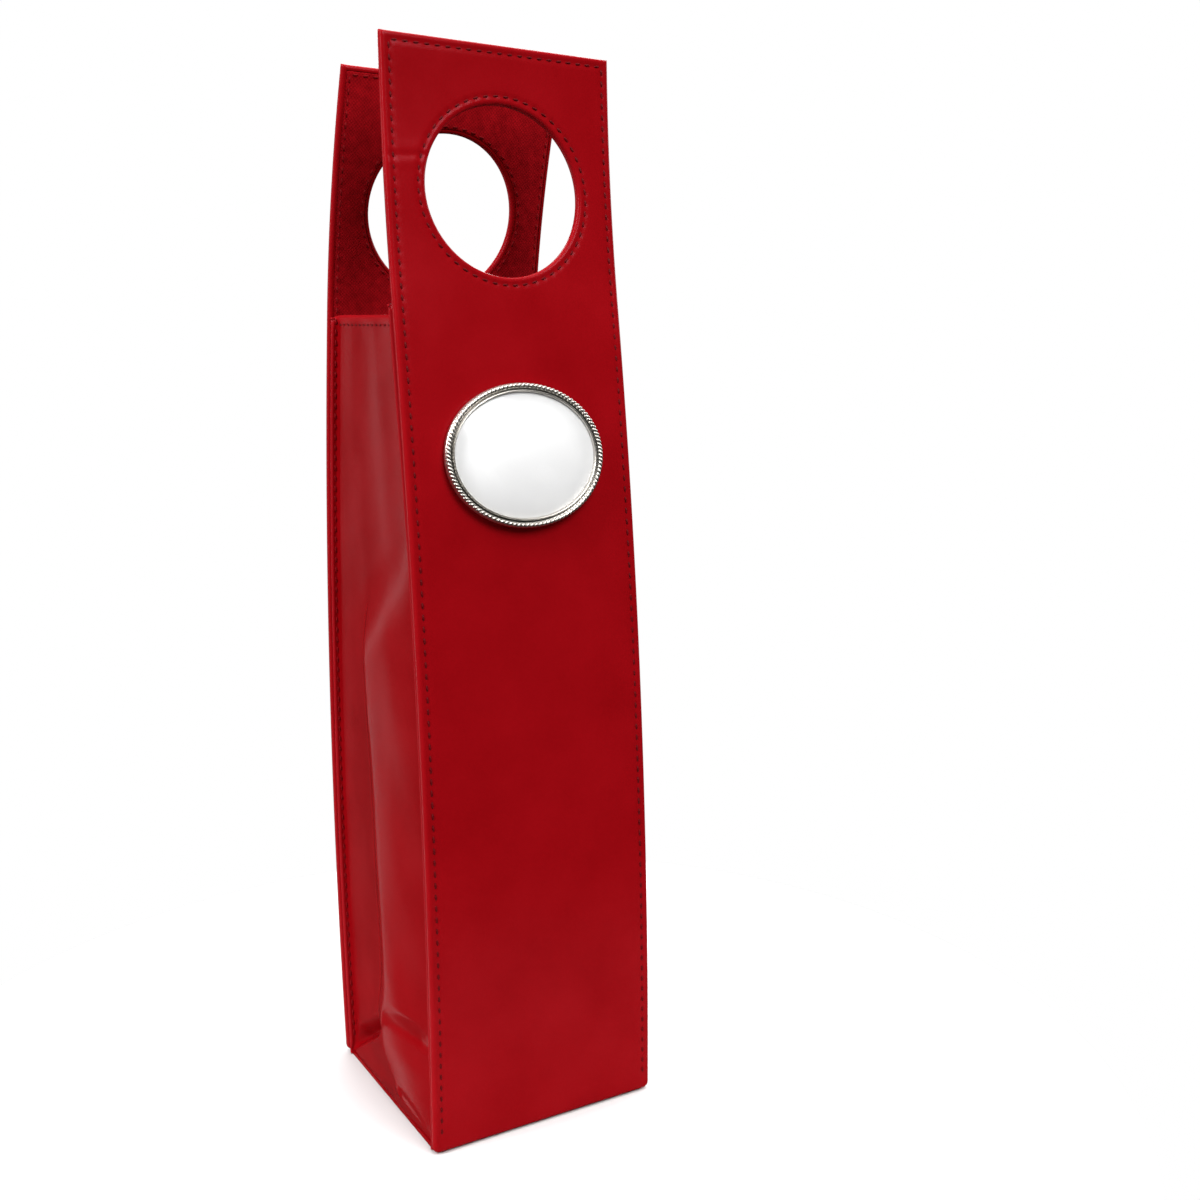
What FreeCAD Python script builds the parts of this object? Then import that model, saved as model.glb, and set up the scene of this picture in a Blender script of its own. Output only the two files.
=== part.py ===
import FreeCAD, Part
import os

# Carrier for one bottle: a stiff front and back panel that rise into two handles, two soft gussets and
# a flat base. X runs along the width, Y from the front to the back, and Z up. The origin is the middle of
# the base, on the floor. Lengths are in millimetres and angles in degrees.

SIZES = {
    # overall
    "panel_width": 89,
    "base_depth": 88,
    # layers of a panel, from the outside in
    "skin_thickness": 1.0,
    "board_thickness": 1.5,
    "lining_thickness": 0.8,
    "glue_gap": 0.1,
    "turned_edge": 1.0,
    # side profile of the panels: each is two arcs that meet at the flex line
    "seam_length": 294.5,
    "front_flare_angle": 1.0,
    "front_bend_angle": 8.8,
    "front_handle_return_angle": 7.4,
    "back_flare_angle": 6.0,
    "back_bend_angle": 13.2,
    "back_handle_bend_angle": 14.4,
    # hand holes, which set the length of the handles
    "hole_diameter": 60,
    "hole_top_margin": 20.5,
    "hole_bottom_margin": 9.1,
    # hinges
    "hinge_clearance": 0.3,
    "handle_fold_angle": 40,
    # gussets
    "gusset_inset": 4.0,
    "gusset_thickness": 1.2,
    "gusset_lining_thickness": 0.6,
    "gusset_drop": 3.0,
    "flange_setback": 0.5,
    "seam_clearance": 0.3,
    # base
    "base_board_thickness": 2.0,
    "base_fit": 0.5,
    # medallion
    "medallion_width": 62,
    "medallion_tall": 51,
    "medallion_drop": 54,
    "medallion_rim": 3.2,
    "medallion_cup_depth": 3.0,
    "medallion_floor": 0.8,
    "medallion_fit": 0.1,
    "insert_thickness": 0.6,
    "dome_rise": 1.8,
    "dome_edge": 0.3,
    "pad_thickness": 0.8,
    "pad_inset": 3.0,
    "rim_rounding": 1.0,
}

# Places that follow from the sizes. A lean is counted from the vertical, and inwards is positive.
LAYOUT = {
    "board_depth": "Sizes.skin_thickness + Sizes.glue_gap",
    "lining_depth": "board_depth + Sizes.board_thickness + Sizes.glue_gap",
    "panel_thickness": "lining_depth + Sizes.lining_thickness",
    "axis_depth": "board_depth + Sizes.board_thickness / 2",
    "core_width": "Sizes.panel_width - 2 * (Sizes.turned_edge + Sizes.glue_gap)",
    "core_top_cut": "Sizes.turned_edge + Sizes.glue_gap",
    "panel_lift": "Sizes.skin_thickness + Sizes.hinge_clearance",
    "nose_radius": "Sizes.board_thickness / 2",
    "board_end_cut": "nose_radius + Sizes.hinge_clearance",
    "groove_cut": "axis_depth * sin(Sizes.handle_fold_angle) + Sizes.hinge_clearance",
    "hole_radius": "Sizes.hole_diameter / 2",
    "handle_length": "Sizes.hole_top_margin + Sizes.hole_diameter + Sizes.hole_bottom_margin",
    # front panel: the arc bows outwards, so its centre lies behind the panel
    "front_panel_radius": "Sizes.seam_length * 180 / (pi * Sizes.front_bend_angle)",
    "front_panel_y": "-Sizes.base_depth / 2 + front_panel_radius * cos(Sizes.front_flare_angle)",
    "front_panel_z": "panel_lift + front_panel_radius * sin(Sizes.front_flare_angle)",
    "front_panel_sweep": "Sizes.front_bend_angle",
    "front_panel_start": "Sizes.front_flare_angle",
    "front_lean": "Sizes.front_bend_angle - Sizes.front_flare_angle",
    "front_flex_y": "front_panel_y - front_panel_radius * cos(front_lean)",
    "front_flex_z": "front_panel_z + front_panel_radius * sin(front_lean)",
    # front handle: the arc turns back upright, so its centre lies in front of it
    "front_handle_radius": "handle_length * 180 / (pi * Sizes.front_handle_return_angle)",
    "front_handle_y": "front_flex_y - front_handle_radius * cos(front_lean)",
    "front_handle_z": "front_flex_z + front_handle_radius * sin(front_lean)",
    "front_handle_sweep": "Sizes.front_handle_return_angle",
    "front_handle_start": "-front_lean",
    # back panel: the arc bows outwards, so its centre lies in front of the panel
    "back_panel_radius": "Sizes.seam_length * 180 / (pi * Sizes.back_bend_angle)",
    "back_panel_y": "Sizes.base_depth / 2 - back_panel_radius * cos(Sizes.back_flare_angle)",
    "back_panel_z": "panel_lift + back_panel_radius * sin(Sizes.back_flare_angle)",
    "back_panel_sweep": "Sizes.back_bend_angle",
    "back_panel_start": "-Sizes.back_flare_angle",
    "back_lean": "Sizes.back_bend_angle - Sizes.back_flare_angle",
    "back_flex_y": "back_panel_y + back_panel_radius * cos(back_lean)",
    "back_flex_z": "back_panel_z + back_panel_radius * sin(back_lean)",
    # back handle: the arc goes on leaning inwards
    "back_handle_radius": "handle_length * 180 / (pi * Sizes.back_handle_bend_angle)",
    "back_handle_y": "back_flex_y - back_handle_radius * cos(back_lean)",
    "back_handle_z": "back_flex_z - back_handle_radius * sin(back_lean)",
    "back_handle_sweep": "Sizes.back_handle_bend_angle",
    "back_handle_start": "back_lean",
    # hand holes: lean of the handle, and the place on its outer face, at the middle of the hole
    "hole_drop": "(Sizes.hole_top_margin + hole_radius) * 180 / pi",
    "front_hole_lean": "front_lean - Sizes.front_handle_return_angle + hole_drop / front_handle_radius",
    "front_hole_y": "front_handle_y + front_handle_radius * cos(front_hole_lean)",
    "front_hole_z": "front_handle_z - front_handle_radius * sin(front_hole_lean)",
    "back_hole_lean": "back_lean + Sizes.back_handle_bend_angle - hole_drop / back_handle_radius",
    "back_hole_y": "back_handle_y + back_handle_radius * cos(back_hole_lean)",
    "back_hole_z": "back_handle_z + back_handle_radius * sin(back_hole_lean)",
    # gussets and base
    "gusset_top": "min(front_flex_z; back_flex_z) - Sizes.gusset_drop",
    "front_seam_radius": "front_panel_radius - panel_thickness - Sizes.seam_clearance",
    "back_seam_radius": "back_panel_radius - panel_thickness - Sizes.seam_clearance",
    "wall_outside": "Sizes.panel_width / 2 - Sizes.gusset_inset",
    "wall_inside": "wall_outside - Sizes.gusset_thickness",
    "room_half_width": "wall_inside - Sizes.glue_gap - Sizes.gusset_lining_thickness",
    "base_cover_half_width": "wall_inside - Sizes.glue_gap",
    "base_core_half_width": "room_half_width - Sizes.glue_gap",
    "base_core_half_depth": "Sizes.base_depth / 2 - panel_thickness - Sizes.base_fit",
    "base_board_floor": "Sizes.skin_thickness + Sizes.glue_gap",
    "base_lining_floor": "base_board_floor + Sizes.base_board_thickness + Sizes.glue_gap",
    # medallion: lean and place of the panel's outer face behind it, and heights above that face
    "medallion_z": "front_flex_z - Sizes.medallion_drop",
    "medallion_lean": "asin((medallion_z - front_panel_z) / front_panel_radius) / 1 deg",
    "medallion_y": "front_panel_y - front_panel_radius * cos(medallion_lean)",
    "pad_seat": "pow(Sizes.medallion_tall / 2; 2) / (2 * front_panel_radius) + Sizes.glue_gap",
    "cup_seat": "pad_seat + Sizes.pad_thickness",
    "insert_seat": "cup_seat + Sizes.medallion_floor",
    "dome_seat": "insert_seat + Sizes.insert_thickness",
    "dome_rounding": "Sizes.dome_rise - Sizes.dome_edge",
}


def add_sheet(doc, name, cells):
    """A sheet with a name and a value in each row, and the name as the value's alias."""
    sheet = doc.addObject("Spreadsheet::Sheet", name)
    for row, (alias, value) in enumerate(cells.items(), 1):
        sheet.set(f"A{row}", alias)
        sheet.set(f"B{row}", value)
        sheet.setAlias(f"B{row}", alias)
    doc.recompute()
    return sheet


doc = FreeCAD.newDocument("bottle_carrier")
sizes = add_sheet(doc, "Sizes", {alias: str(value) for alias, value in SIZES.items()})
layout = add_sheet(doc, "Layout", {alias: "=" + formula for alias, formula in LAYOUT.items()})
nodes = []


def add(kind, name, **bindings):
    """A new object whose properties are bound to expressions."""
    made = doc.addObject(kind, name)
    for prop, expression in bindings.items():
        made.setExpression(prop, expression)
    return made


def boolean(kind, name, base, tool):
    """A Part::Cut or Part::Common of two objects."""
    made = doc.addObject(kind, name)
    made.Base = base
    made.Tool = tool
    return made


def keep(made, label):
    """Name a finished sub-part and list it for writing."""
    made.Label = label
    nodes.append(made)
    return made


class Arc:
    """One arc of a panel's side profile, read from the layout cells that start with its name."""

    def __init__(self, name, centre_inside, mirrored):
        self.name = name
        self.inwards = -1 if centre_inside else 1
        self.advance = -1 if mirrored else 1
        self.axes = "rotation(vector(1; -1; -1); 120)" if mirrored else "rotation(vector(1; 1; 1); 120)"

    def cell(self, what):
        return f"Layout.{self.name}_{what}"

    def radius_at(self, depth):
        """Radius of the layer face that lies this deep below the outer face."""
        return f"{self.cell('radius')} + {self.inwards} * ({depth})"

    def degrees(self, length):
        """Angle that a length takes up along the arc."""
        return f"({length}) * 180 / (pi * {self.cell('radius')})"

    def place(self, width, cut_start="0"):
        """Placement of a cylinder about the arc's centre that starts where the arc does, less a cut."""
        side = f"{-self.advance} * ({width}) / 2"
        turn = f"{self.cell('start')} + {self.advance} * {self.degrees(cut_start)}"
        centre = f"vector({side}; {self.cell('y')}; {self.cell('z')})"
        return f"placement({centre}; rotation(vector(1; 0; 0); {turn}) * {self.axes})"

    def sheet(self, name, depth, thickness, width, cut_start="0", cut_end="0"):
        """A curved sheet that lies this deep below the outer face, shortened at its two ends."""
        faces = [self.radius_at(depth), self.radius_at(f"{depth} + {thickness}")]
        if self.inwards > 0:
            faces.reverse()
        sweep = f"{self.cell('sweep')} - {self.degrees(cut_start)} - {self.degrees(cut_end)}"
        place = self.place(width, cut_start)
        kind = "Part::Cylinder"
        far = add(kind, name + "_far", Radius=faces[0], Height=width, Angle=sweep, Placement=place)
        near = add(kind, name + "_near", Radius=faces[1], Height=width, Placement=place)
        return boolean("Part::Cut", name, far, near)

    def axis_place(self, width, along):
        """Placement of a cylinder along the width, at the depth of the hinge axis, this far along the arc."""
        radius = self.radius_at("Layout.axis_depth")
        turn = f"{self.cell('start')} + {self.advance} * {self.degrees(along)}"
        arm = f"rotation(vector(1; 0; 0); {turn}) * vector(0; {self.advance} * ({radius}); 0)"
        centre = f"vector(-({width}) / 2; {self.cell('y')}; {self.cell('z')})"
        return f"placement({centre} + {arm}; rotation(vector(0; 1; 0); 90))"


FRONT_PANEL = Arc("front_panel", centre_inside=True, mirrored=True)
BACK_PANEL = Arc("back_panel", centre_inside=True, mirrored=False)
FRONT_HANDLE = Arc("front_handle", centre_inside=False, mirrored=False)
BACK_HANDLE = Arc("back_handle", centre_inside=True, mirrored=False)

CAVITY_DEPTH = "Sizes.board_thickness + Sizes.lining_thickness + 3 * Sizes.glue_gap"


def rounded_board(arc, width, along, cut_start, cut_end):
    """A stiffener board whose lower end is rounded about the hinge axis."""
    name = arc.name + "_stiffener"
    layer = ("Layout.board_depth", "Sizes.board_thickness", width)
    flat = arc.sheet(name + "_flat", *layer, cut_start, cut_end)
    nose = add(
        "Part::Cylinder", name + "_nose", Radius="Layout.nose_radius", Height=width,
        Placement=arc.axis_place(width, along),
    )
    return boolean("Part::Fuse", name, flat, nose)


def build_panel(arc):
    """Cover, board and lining of a panel below its flex line."""
    skin_width = "Sizes.panel_width"
    core_width = "Layout.core_width"
    cavity_width = "Sizes.panel_width - 2 * Sizes.turned_edge"
    top = "Layout.groove_cut"
    slab = arc.sheet(arc.name + "_slab", "0", "Layout.panel_thickness", skin_width, cut_end=top)
    cavity = arc.sheet(arc.name + "_cavity", "Sizes.skin_thickness", CAVITY_DEPTH, cavity_width)
    keep(boolean("Part::Cut", arc.name + "_cover", slab, cavity), arc.name + "_skin")
    low = "Layout.nose_radius"
    keep(rounded_board(arc, core_width, low, low, "Layout.board_end_cut"), arc.name + "_board")
    lining = arc.sheet(
        arc.name + "_cloth", "Layout.lining_depth", "Sizes.lining_thickness", core_width, cut_end=top
    )
    keep(lining, arc.name + "_lining")


def hole_tool(name, side, radius):
    """A cylinder square to the handle through the middle of its hand hole."""
    outwards = -1 if side == "front" else 1
    lean = f"Layout.{side}_hole_lean"
    turn = f"{-outwards} * (90 - {lean})"
    reach = "2 * Layout.panel_thickness"
    centre = f"vector(0; Layout.{side}_hole_y; Layout.{side}_hole_z)"
    back_off = f"rotation(vector(1; 0; 0); {turn}) * vector(0; 0; {reach})"
    place = f"placement({centre} - {back_off}; rotation(vector(1; 0; 0); {turn}))"
    return add("Part::Cylinder", name, Radius=radius, Height=f"2 * {reach}", Placement=place)


def build_handle(arc, side):
    """Cover, board and lining of a handle, each with the hand hole."""
    skin_width = "Sizes.panel_width"
    core_width = "Layout.core_width"
    cavity_width = "Sizes.panel_width - 2 * Sizes.turned_edge"
    edge = "Sizes.hinge_clearance"
    lip_radius = "Layout.hole_radius + Sizes.turned_edge"
    core_radius = f"{lip_radius} + Sizes.glue_gap"
    slab = arc.sheet(arc.name + "_slab", "0", "Layout.panel_thickness", skin_width, cut_start=edge)
    cavity = arc.sheet(
        arc.name + "_cavity", "Sizes.skin_thickness", CAVITY_DEPTH, cavity_width, cut_end="Sizes.turned_edge"
    )
    lip = hole_tool(arc.name + "_lip", side, lip_radius)
    ringed_cavity = boolean("Part::Cut", arc.name + "_ringed_cavity", cavity, lip)
    tray = boolean("Part::Cut", arc.name + "_tray", slab, ringed_cavity)
    hole = hole_tool(arc.name + "_hole", side, "Layout.hole_radius")
    keep(boolean("Part::Cut", arc.name + "_cover", tray, hole), arc.name + "_skin")
    core_hole = hole_tool(arc.name + "_core_hole", side, core_radius)
    top = "Layout.core_top_cut"
    board = rounded_board(arc, core_width, "0", "0", top)
    keep(boolean("Part::Cut", arc.name + "_holed_stiffener", board, core_hole), arc.name + "_board")
    cloth = arc.sheet(
        arc.name + "_cloth", "Layout.lining_depth", "Sizes.lining_thickness", core_width, edge, top
    )
    keep(boolean("Part::Cut", arc.name + "_inner_cloth", cloth, core_hole), arc.name + "_lining")


def room(name, trim="0"):
    """The space between the panels, as the overlap of two large cylinders, drawn in by a trim."""
    width = "Sizes.panel_width"
    front = add(
        "Part::Cylinder", name + "_front", Radius=f"Layout.front_seam_radius - ({trim})",
        Height=width, Placement=FRONT_PANEL.place(width),
    )
    back = add(
        "Part::Cylinder", name + "_back", Radius=f"Layout.back_seam_radius - ({trim})",
        Height=width, Placement=BACK_PANEL.place(width),
    )
    return boolean("Part::Common", name, front, back)


def upright_slab(name, outside, inside, foot="0"):
    """A slab on the negative side of the middle plane, between two distances, up to the gusset top."""
    place = f"placement(vector(-({outside}); -Sizes.base_depth; {foot}); rotation(vector(0; 0; 1); 0))"
    return add(
        "Part::Box", name, Length=f"({outside}) - ({inside})", Width="2 * Sizes.base_depth",
        Height=f"Layout.gusset_top - ({foot})", Placement=place,
    )


def mirrored(made, name):
    """The same piece on the other side of the middle plane."""
    twin = doc.addObject("Part::Mirroring", name)
    twin.Source = made
    twin.Base = FreeCAD.Vector(0, 0, 0)
    twin.Normal = FreeCAD.Vector(1, 0, 0)
    return twin


def build_gussets():
    """Each gusset is a wall between the panels, with a flange along each panel, and a lining inside."""
    wall_slab = upright_slab("gusset_wall_slab", "Layout.wall_outside", "Layout.wall_inside")
    wall = boolean("Part::Common", "gusset_wall", room("gusset_room"), wall_slab)
    flange_core = room("flange_core", "Sizes.gusset_thickness")
    rim = boolean("Part::Cut", "gusset_rim", room("flange_room"), flange_core)
    edge = "Sizes.panel_width / 2 - Sizes.flange_setback"
    flange_slab = upright_slab("gusset_flange_slab", edge, "Layout.wall_outside")
    flanges = boolean("Part::Common", "gusset_flanges", rim, flange_slab)
    left = keep(boolean("Part::Fuse", "gusset_left", wall, flanges), "left_gusset")
    keep(mirrored(left, "gusset_right"), "right_gusset")
    faces = ("Layout.base_cover_half_width", "Layout.room_half_width")
    lining_slab = upright_slab("gusset_lining_slab", *faces, foot="Layout.base_board_floor")
    lining = boolean("Part::Common", "gusset_lining_left", room("lining_room"), lining_slab)
    keep(lining, "left_gusset_lining")
    keep(mirrored(lining, "gusset_lining_right"), "right_gusset_lining")


def flat_layer(name, half_width, half_depth, floor, thickness):
    """A flat rectangular layer of the base."""
    place = f"placement(vector(-({half_width}); -({half_depth}); {floor}); rotation(vector(0; 0; 1); 0))"
    return add(
        "Part::Box", name, Length=f"2 * ({half_width})", Width=f"2 * ({half_depth})",
        Height=thickness, Placement=place,
    )


def build_base():
    """The cover that the carrier stands on, the board that stiffens it and the lining under the bottle."""
    cover = ("Layout.base_cover_half_width", "Sizes.base_depth / 2", "0", "Sizes.skin_thickness")
    keep(flat_layer("base_cover", *cover), "base_skin")
    core = ("Layout.base_core_half_width", "Layout.base_core_half_depth")
    board = (*core, "Layout.base_board_floor", "Sizes.base_board_thickness")
    keep(flat_layer("base_stiffener", *board), "base_board")
    cloth = (*core, "Layout.base_lining_floor", "Sizes.lining_thickness")
    keep(flat_layer("base_cloth", *cloth), "base_lining")


MEDALLION_TURN = "rotation(vector(1; 0; 0); 90 - Layout.medallion_lean)"


def medallion_place(height):
    """Placement at this height above the front panel's outer face, with Z pointing away from the panel."""
    centre = "vector(0; Layout.medallion_y; Layout.medallion_z)"
    return f"placement({centre} + {MEDALLION_TURN} * vector(0; 0; {height}); {MEDALLION_TURN})"


def oval(name, inset, height, thickness):
    """An oval plate drawn in from the medallion's outline."""
    outline = add(
        "Part::Ellipse", name + "_outline", MajorRadius=f"Sizes.medallion_width / 2 - ({inset})",
        MinorRadius=f"Sizes.medallion_tall / 2 - ({inset})", Placement=medallion_place(height),
    )
    plate = add("Part::Extrusion", name, LengthFwd=thickness, Dir=f"{MEDALLION_TURN} * vector(0; 0; 1)")
    plate.Base = outline
    plate.DirMode = "Custom"
    plate.Solid = True
    return plate


def rounded_oval(name, inset, height, thickness, radius):
    """An oval plate whose front edge is rounded."""
    plate = oval(name + "_plate", inset, height, thickness)
    doc.recompute()
    middle = plate.Shape.CenterOfMass
    front_edges = [
        number for number, edge in enumerate(plate.Shape.Edges, 1)
        if edge.Closed and edge.CenterOfMass.y < middle.y
    ]
    rounded = doc.addObject("Part::Fillet", name)
    rounded.Base = plate
    rounded.Edges = [(number, radius, radius) for number in front_edges]
    return rounded


def build_medallion():
    """Adhesive pad, metal cup with a raised rim, white insert, and the clear dome over it."""
    pad = oval("medallion_adhesive", "Sizes.pad_inset", "Layout.pad_seat", "Sizes.pad_thickness")
    keep(pad, "medallion_pad")
    cup_depth = "Sizes.medallion_cup_depth"
    blank = rounded_oval("medallion_blank", "0", "Layout.cup_seat", cup_depth, sizes.get("rim_rounding"))
    hollow = oval("medallion_hollow", "Sizes.medallion_rim", "Layout.insert_seat", cup_depth)
    keep(boolean("Part::Cut", "medallion_tray", blank, hollow), "medallion_cup")
    inset = "Sizes.medallion_rim + Sizes.medallion_fit"
    disc = oval("medallion_disc", inset, "Layout.insert_seat", "Sizes.insert_thickness")
    keep(disc, "medallion_insert")
    dome = ("Layout.dome_seat", "Sizes.dome_rise", layout.get("dome_rounding"))
    keep(rounded_oval("medallion_lens", inset, *dome), "medallion_dome")


def report_axes():
    """Print the hinge axes, which run along X, as Y and Z, and the main heights."""
    for arc in (FRONT_PANEL, FRONT_HANDLE, BACK_PANEL, BACK_HANDLE):
        middle = doc.getObject(arc.name + "_stiffener_nose").Placement.Base
        print(f"{arc.name} hinge axis: y {middle.y:.4f}, z {middle.z:.4f}")
    for cell in ("gusset_top", "room_half_width", "front_flex_z", "back_flex_z"):
        print(f"{cell}: {layout.get(cell):.3f}")


build_base()
build_gussets()
build_panel(FRONT_PANEL)
build_handle(FRONT_HANDLE, "front")
build_panel(BACK_PANEL)
build_handle(BACK_HANDLE, "back")
build_medallion()
doc.recompute()

for made in doc.Objects:
    if "Invalid" in made.State or "Error" in made.State:
        raise RuntimeError(f"{made.Label} failed: {made.State}")
for node in nodes:
    if node.Shape.isNull() or not node.Shape.isValid():
        raise RuntimeError(f"{node.Label} has no valid shape")

os.makedirs("parts", exist_ok=True)
for node in nodes:
    node.Shape.exportStep(f"parts/{node.Label}.step")
    box = node.Shape.BoundBox
    print(
        f"{node.Label}: {len(node.Shape.Solids)} solid, {node.Shape.Volume:.0f} mm3,"
        f" x {box.XMin:.2f} {box.XMax:.2f}, y {box.YMin:.2f} {box.YMax:.2f}, z {box.ZMin:.2f} {box.ZMax:.2f}"
    )
report_axes()
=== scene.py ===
"""Looks of a red leatherette carrier for one bottle, built around its packed construction.

Two stiff panels with round hand holes stand on a small base, two folded gussets close the sides, and an
oval medallion sits on the front. Each sub-assembly is a class below. All sizes are in metres.
"""

import functools
import logging
import math
from dataclasses import dataclass
from enum import Enum
from typing import Callable, Iterable, Sequence

import bmesh
import bpy
from bmesh.types import BMEdge, BMesh, BMVert
from bpy.types import Material, Node, NodeSocket, Object
from mathutils import Matrix, Vector, noise


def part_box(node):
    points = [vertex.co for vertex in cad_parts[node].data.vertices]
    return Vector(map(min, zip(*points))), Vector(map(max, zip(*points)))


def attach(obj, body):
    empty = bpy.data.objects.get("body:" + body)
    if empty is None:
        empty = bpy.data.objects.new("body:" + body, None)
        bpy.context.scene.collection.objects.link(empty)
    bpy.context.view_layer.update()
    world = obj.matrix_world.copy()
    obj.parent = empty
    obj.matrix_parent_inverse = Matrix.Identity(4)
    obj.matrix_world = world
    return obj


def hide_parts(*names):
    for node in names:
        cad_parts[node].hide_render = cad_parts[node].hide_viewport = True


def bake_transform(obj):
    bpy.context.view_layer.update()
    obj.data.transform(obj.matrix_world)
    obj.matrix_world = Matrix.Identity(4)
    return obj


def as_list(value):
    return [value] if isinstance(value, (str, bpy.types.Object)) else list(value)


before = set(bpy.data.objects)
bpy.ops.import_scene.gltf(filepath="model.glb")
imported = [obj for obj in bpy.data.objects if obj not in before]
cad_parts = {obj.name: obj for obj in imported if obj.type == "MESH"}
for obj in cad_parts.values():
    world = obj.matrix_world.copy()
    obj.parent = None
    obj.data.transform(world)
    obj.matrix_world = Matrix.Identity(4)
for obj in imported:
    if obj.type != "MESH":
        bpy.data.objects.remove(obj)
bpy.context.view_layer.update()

MM = 0.001
TOUCH = 1e-6
LOG = logging.getLogger("bottle_carrier")

Point = tuple[float, float, float]
Section = Sequence[tuple[float, float]]
Stations = tuple[tuple[float, float], ...]
Colour = Point | NodeSocket


class Body(str, Enum):
    """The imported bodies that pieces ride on."""

    BASE = "base"
    FRONT_PANEL = "front_panel"
    FRONT_HANDLE = "front_handle"
    BACK_PANEL = "back_panel"
    BACK_HANDLE = "back_handle"


class Slot(str, Enum):
    """The record's material slots."""

    LEATHERETTE = "leatherette"
    GREYBOARD = "greyboard"
    LINING = "lining_cloth"
    FOAM = "adhesive_foam"
    NICKEL = "nickel_rim"
    INSERT = "white_insert"
    DOME = "clear_dome"


class Side(Enum):
    """The two panels, with the sign of Y that points into the carrier."""

    FRONT = 1
    BACK = -1

    @property
    def word(self) -> str:
        """The side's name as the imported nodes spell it."""
        return self.name.lower()

    @property
    def panel(self) -> str:
        """The body of this side's panel."""
        return Body[f"{self.name}_PANEL"].value

    @property
    def handle(self) -> str:
        """The body of this side's handle."""
        return Body[f"{self.name}_HANDLE"].value


class Hand(Enum):
    """The two gussets, with the sign of X that points out of the carrier."""

    LEFT = -1
    RIGHT = 1

    @property
    def word(self) -> str:
        """The hand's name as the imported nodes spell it."""
        return self.name.lower()


class NodeSketch:
    """Builds one procedural material node by node."""

    def __init__(self, name: str) -> None:
        """Starts an empty material.

        Args:
            name: the material's name.
        """
        self.material = bpy.data.materials.new(name)
        self.material.use_nodes = True
        self.tree = self.material.node_tree
        self.tree.nodes.clear()

    def add(self, kind: str, inputs: dict | None = None, **settings: object) -> Node:
        """Adds a shader node.

        Args:
            kind: the node's type without the word ShaderNode.
            inputs: socket names or numbers, with a value or the socket that feeds each.
            settings: the node's own properties.

        Returns:
            The new node.
        """
        node = self.tree.nodes.new("ShaderNode" + kind)
        for key, value in settings.items():
            setattr(node, key, value)
        for key, value in (inputs or {}).items():
            if isinstance(value, NodeSocket):
                self.tree.links.new(value, node.inputs[key])
            else:
                node.inputs[key].default_value = value
        return node

    def object_place(self) -> NodeSocket:
        """The point on the piece in object coordinates, in metres."""
        return self.add("TexCoord").outputs["Object"]

    def noise(self, place: NodeSocket, grain: float, detail: float = 3.0) -> NodeSocket:
        """Adds cloudy noise.

        Args:
            place: the coordinates that it reads.
            grain: the size of its clouds in metres.
            detail: how many finer layers it has.

        Returns:
            The noise's value, about 0.5 in the middle.
        """
        sizes = {"Vector": place, "Scale": 1.0 / grain, "Detail": detail, "Roughness": 0.55}
        return self.add("TexNoise", sizes).outputs["Fac"]

    def span(self, value: NodeSocket, low: float, high: float, to_low: float, to_high: float) -> NodeSocket:
        """Maps a value from one span to another, held at the ends.

        Args:
            value: the value that is mapped.
            low: where the first span starts.
            high: where the first span ends.
            to_low: what the start becomes.
            to_high: what the end becomes.

        Returns:
            The mapped value.
        """
        ends = {"Value": value, "From Min": low, "From Max": high, "To Min": to_low, "To Max": to_high}
        return self.add("MapRange", ends).outputs["Result"]

    def sum(self, parts: Iterable[tuple[NodeSocket, float]]) -> NodeSocket:
        """Adds several values, each with its weight.

        Args:
            parts: pairs of a value and its weight.

        Returns:
            The weighted sum.
        """
        total: NodeSocket | float = 0.0
        for value, weight in parts:
            total = self.add("Math", {0: value, 1: weight, 2: total}, operation="MULTIPLY_ADD").outputs[0]
        return total

    def tint(self, share: NodeSocket, dark: Colour, light: Colour) -> NodeSocket:
        """Mixes two colours.

        Args:
            share: 0 for the dark colour and 1 for the light one.
            dark: linear red, green and blue, or the socket that gives them.
            light: the same for the light colour.

        Returns:
            The mixed colour.
        """
        ends = [(*colour, 1.0) if isinstance(colour, tuple) else colour for colour in (dark, light)]
        return self.add("Mix", {"Factor": share, 6: ends[0], 7: ends[1]}, data_type="RGBA").outputs[2]

    def bump(self, height: NodeSocket, depth: float, strength: float = 1.0) -> NodeSocket:
        """Turns a height into a surface direction.

        Args:
            height: the height, from 0 to 1.
            depth: how deep 1 is, in metres.
            strength: the bump's share.

        Returns:
            The bumped normal.
        """
        sizes = {"Height": height, "Distance": depth, "Strength": strength}
        return self.add("Bump", sizes).outputs["Normal"]

    def finish(self, **sockets: object) -> Material:
        """Closes the material with a principled shader.

        Args:
            sockets: the shader's sockets by name, with _ for a space.

        Returns:
            The finished material.
        """
        inputs = {key.replace("_", " "): value for key, value in sockets.items()}
        shader = self.add("BsdfPrincipled", inputs)
        self.add("OutputMaterial", {"Surface": shader.outputs[0]})
        return self.material


@dataclass(frozen=True)
class Finish:
    """What a surface is made of, drawn as one procedural material."""

    name: str

    @functools.cache
    def material(self) -> Material:
        """The finish's material, made once."""
        return self.draw(NodeSketch(self.name))

    def draw(self, sketch: NodeSketch) -> Material:
        """Draws the finish's nodes in an empty material, which each finish does in its own way."""
        raise NotImplementedError


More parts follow.
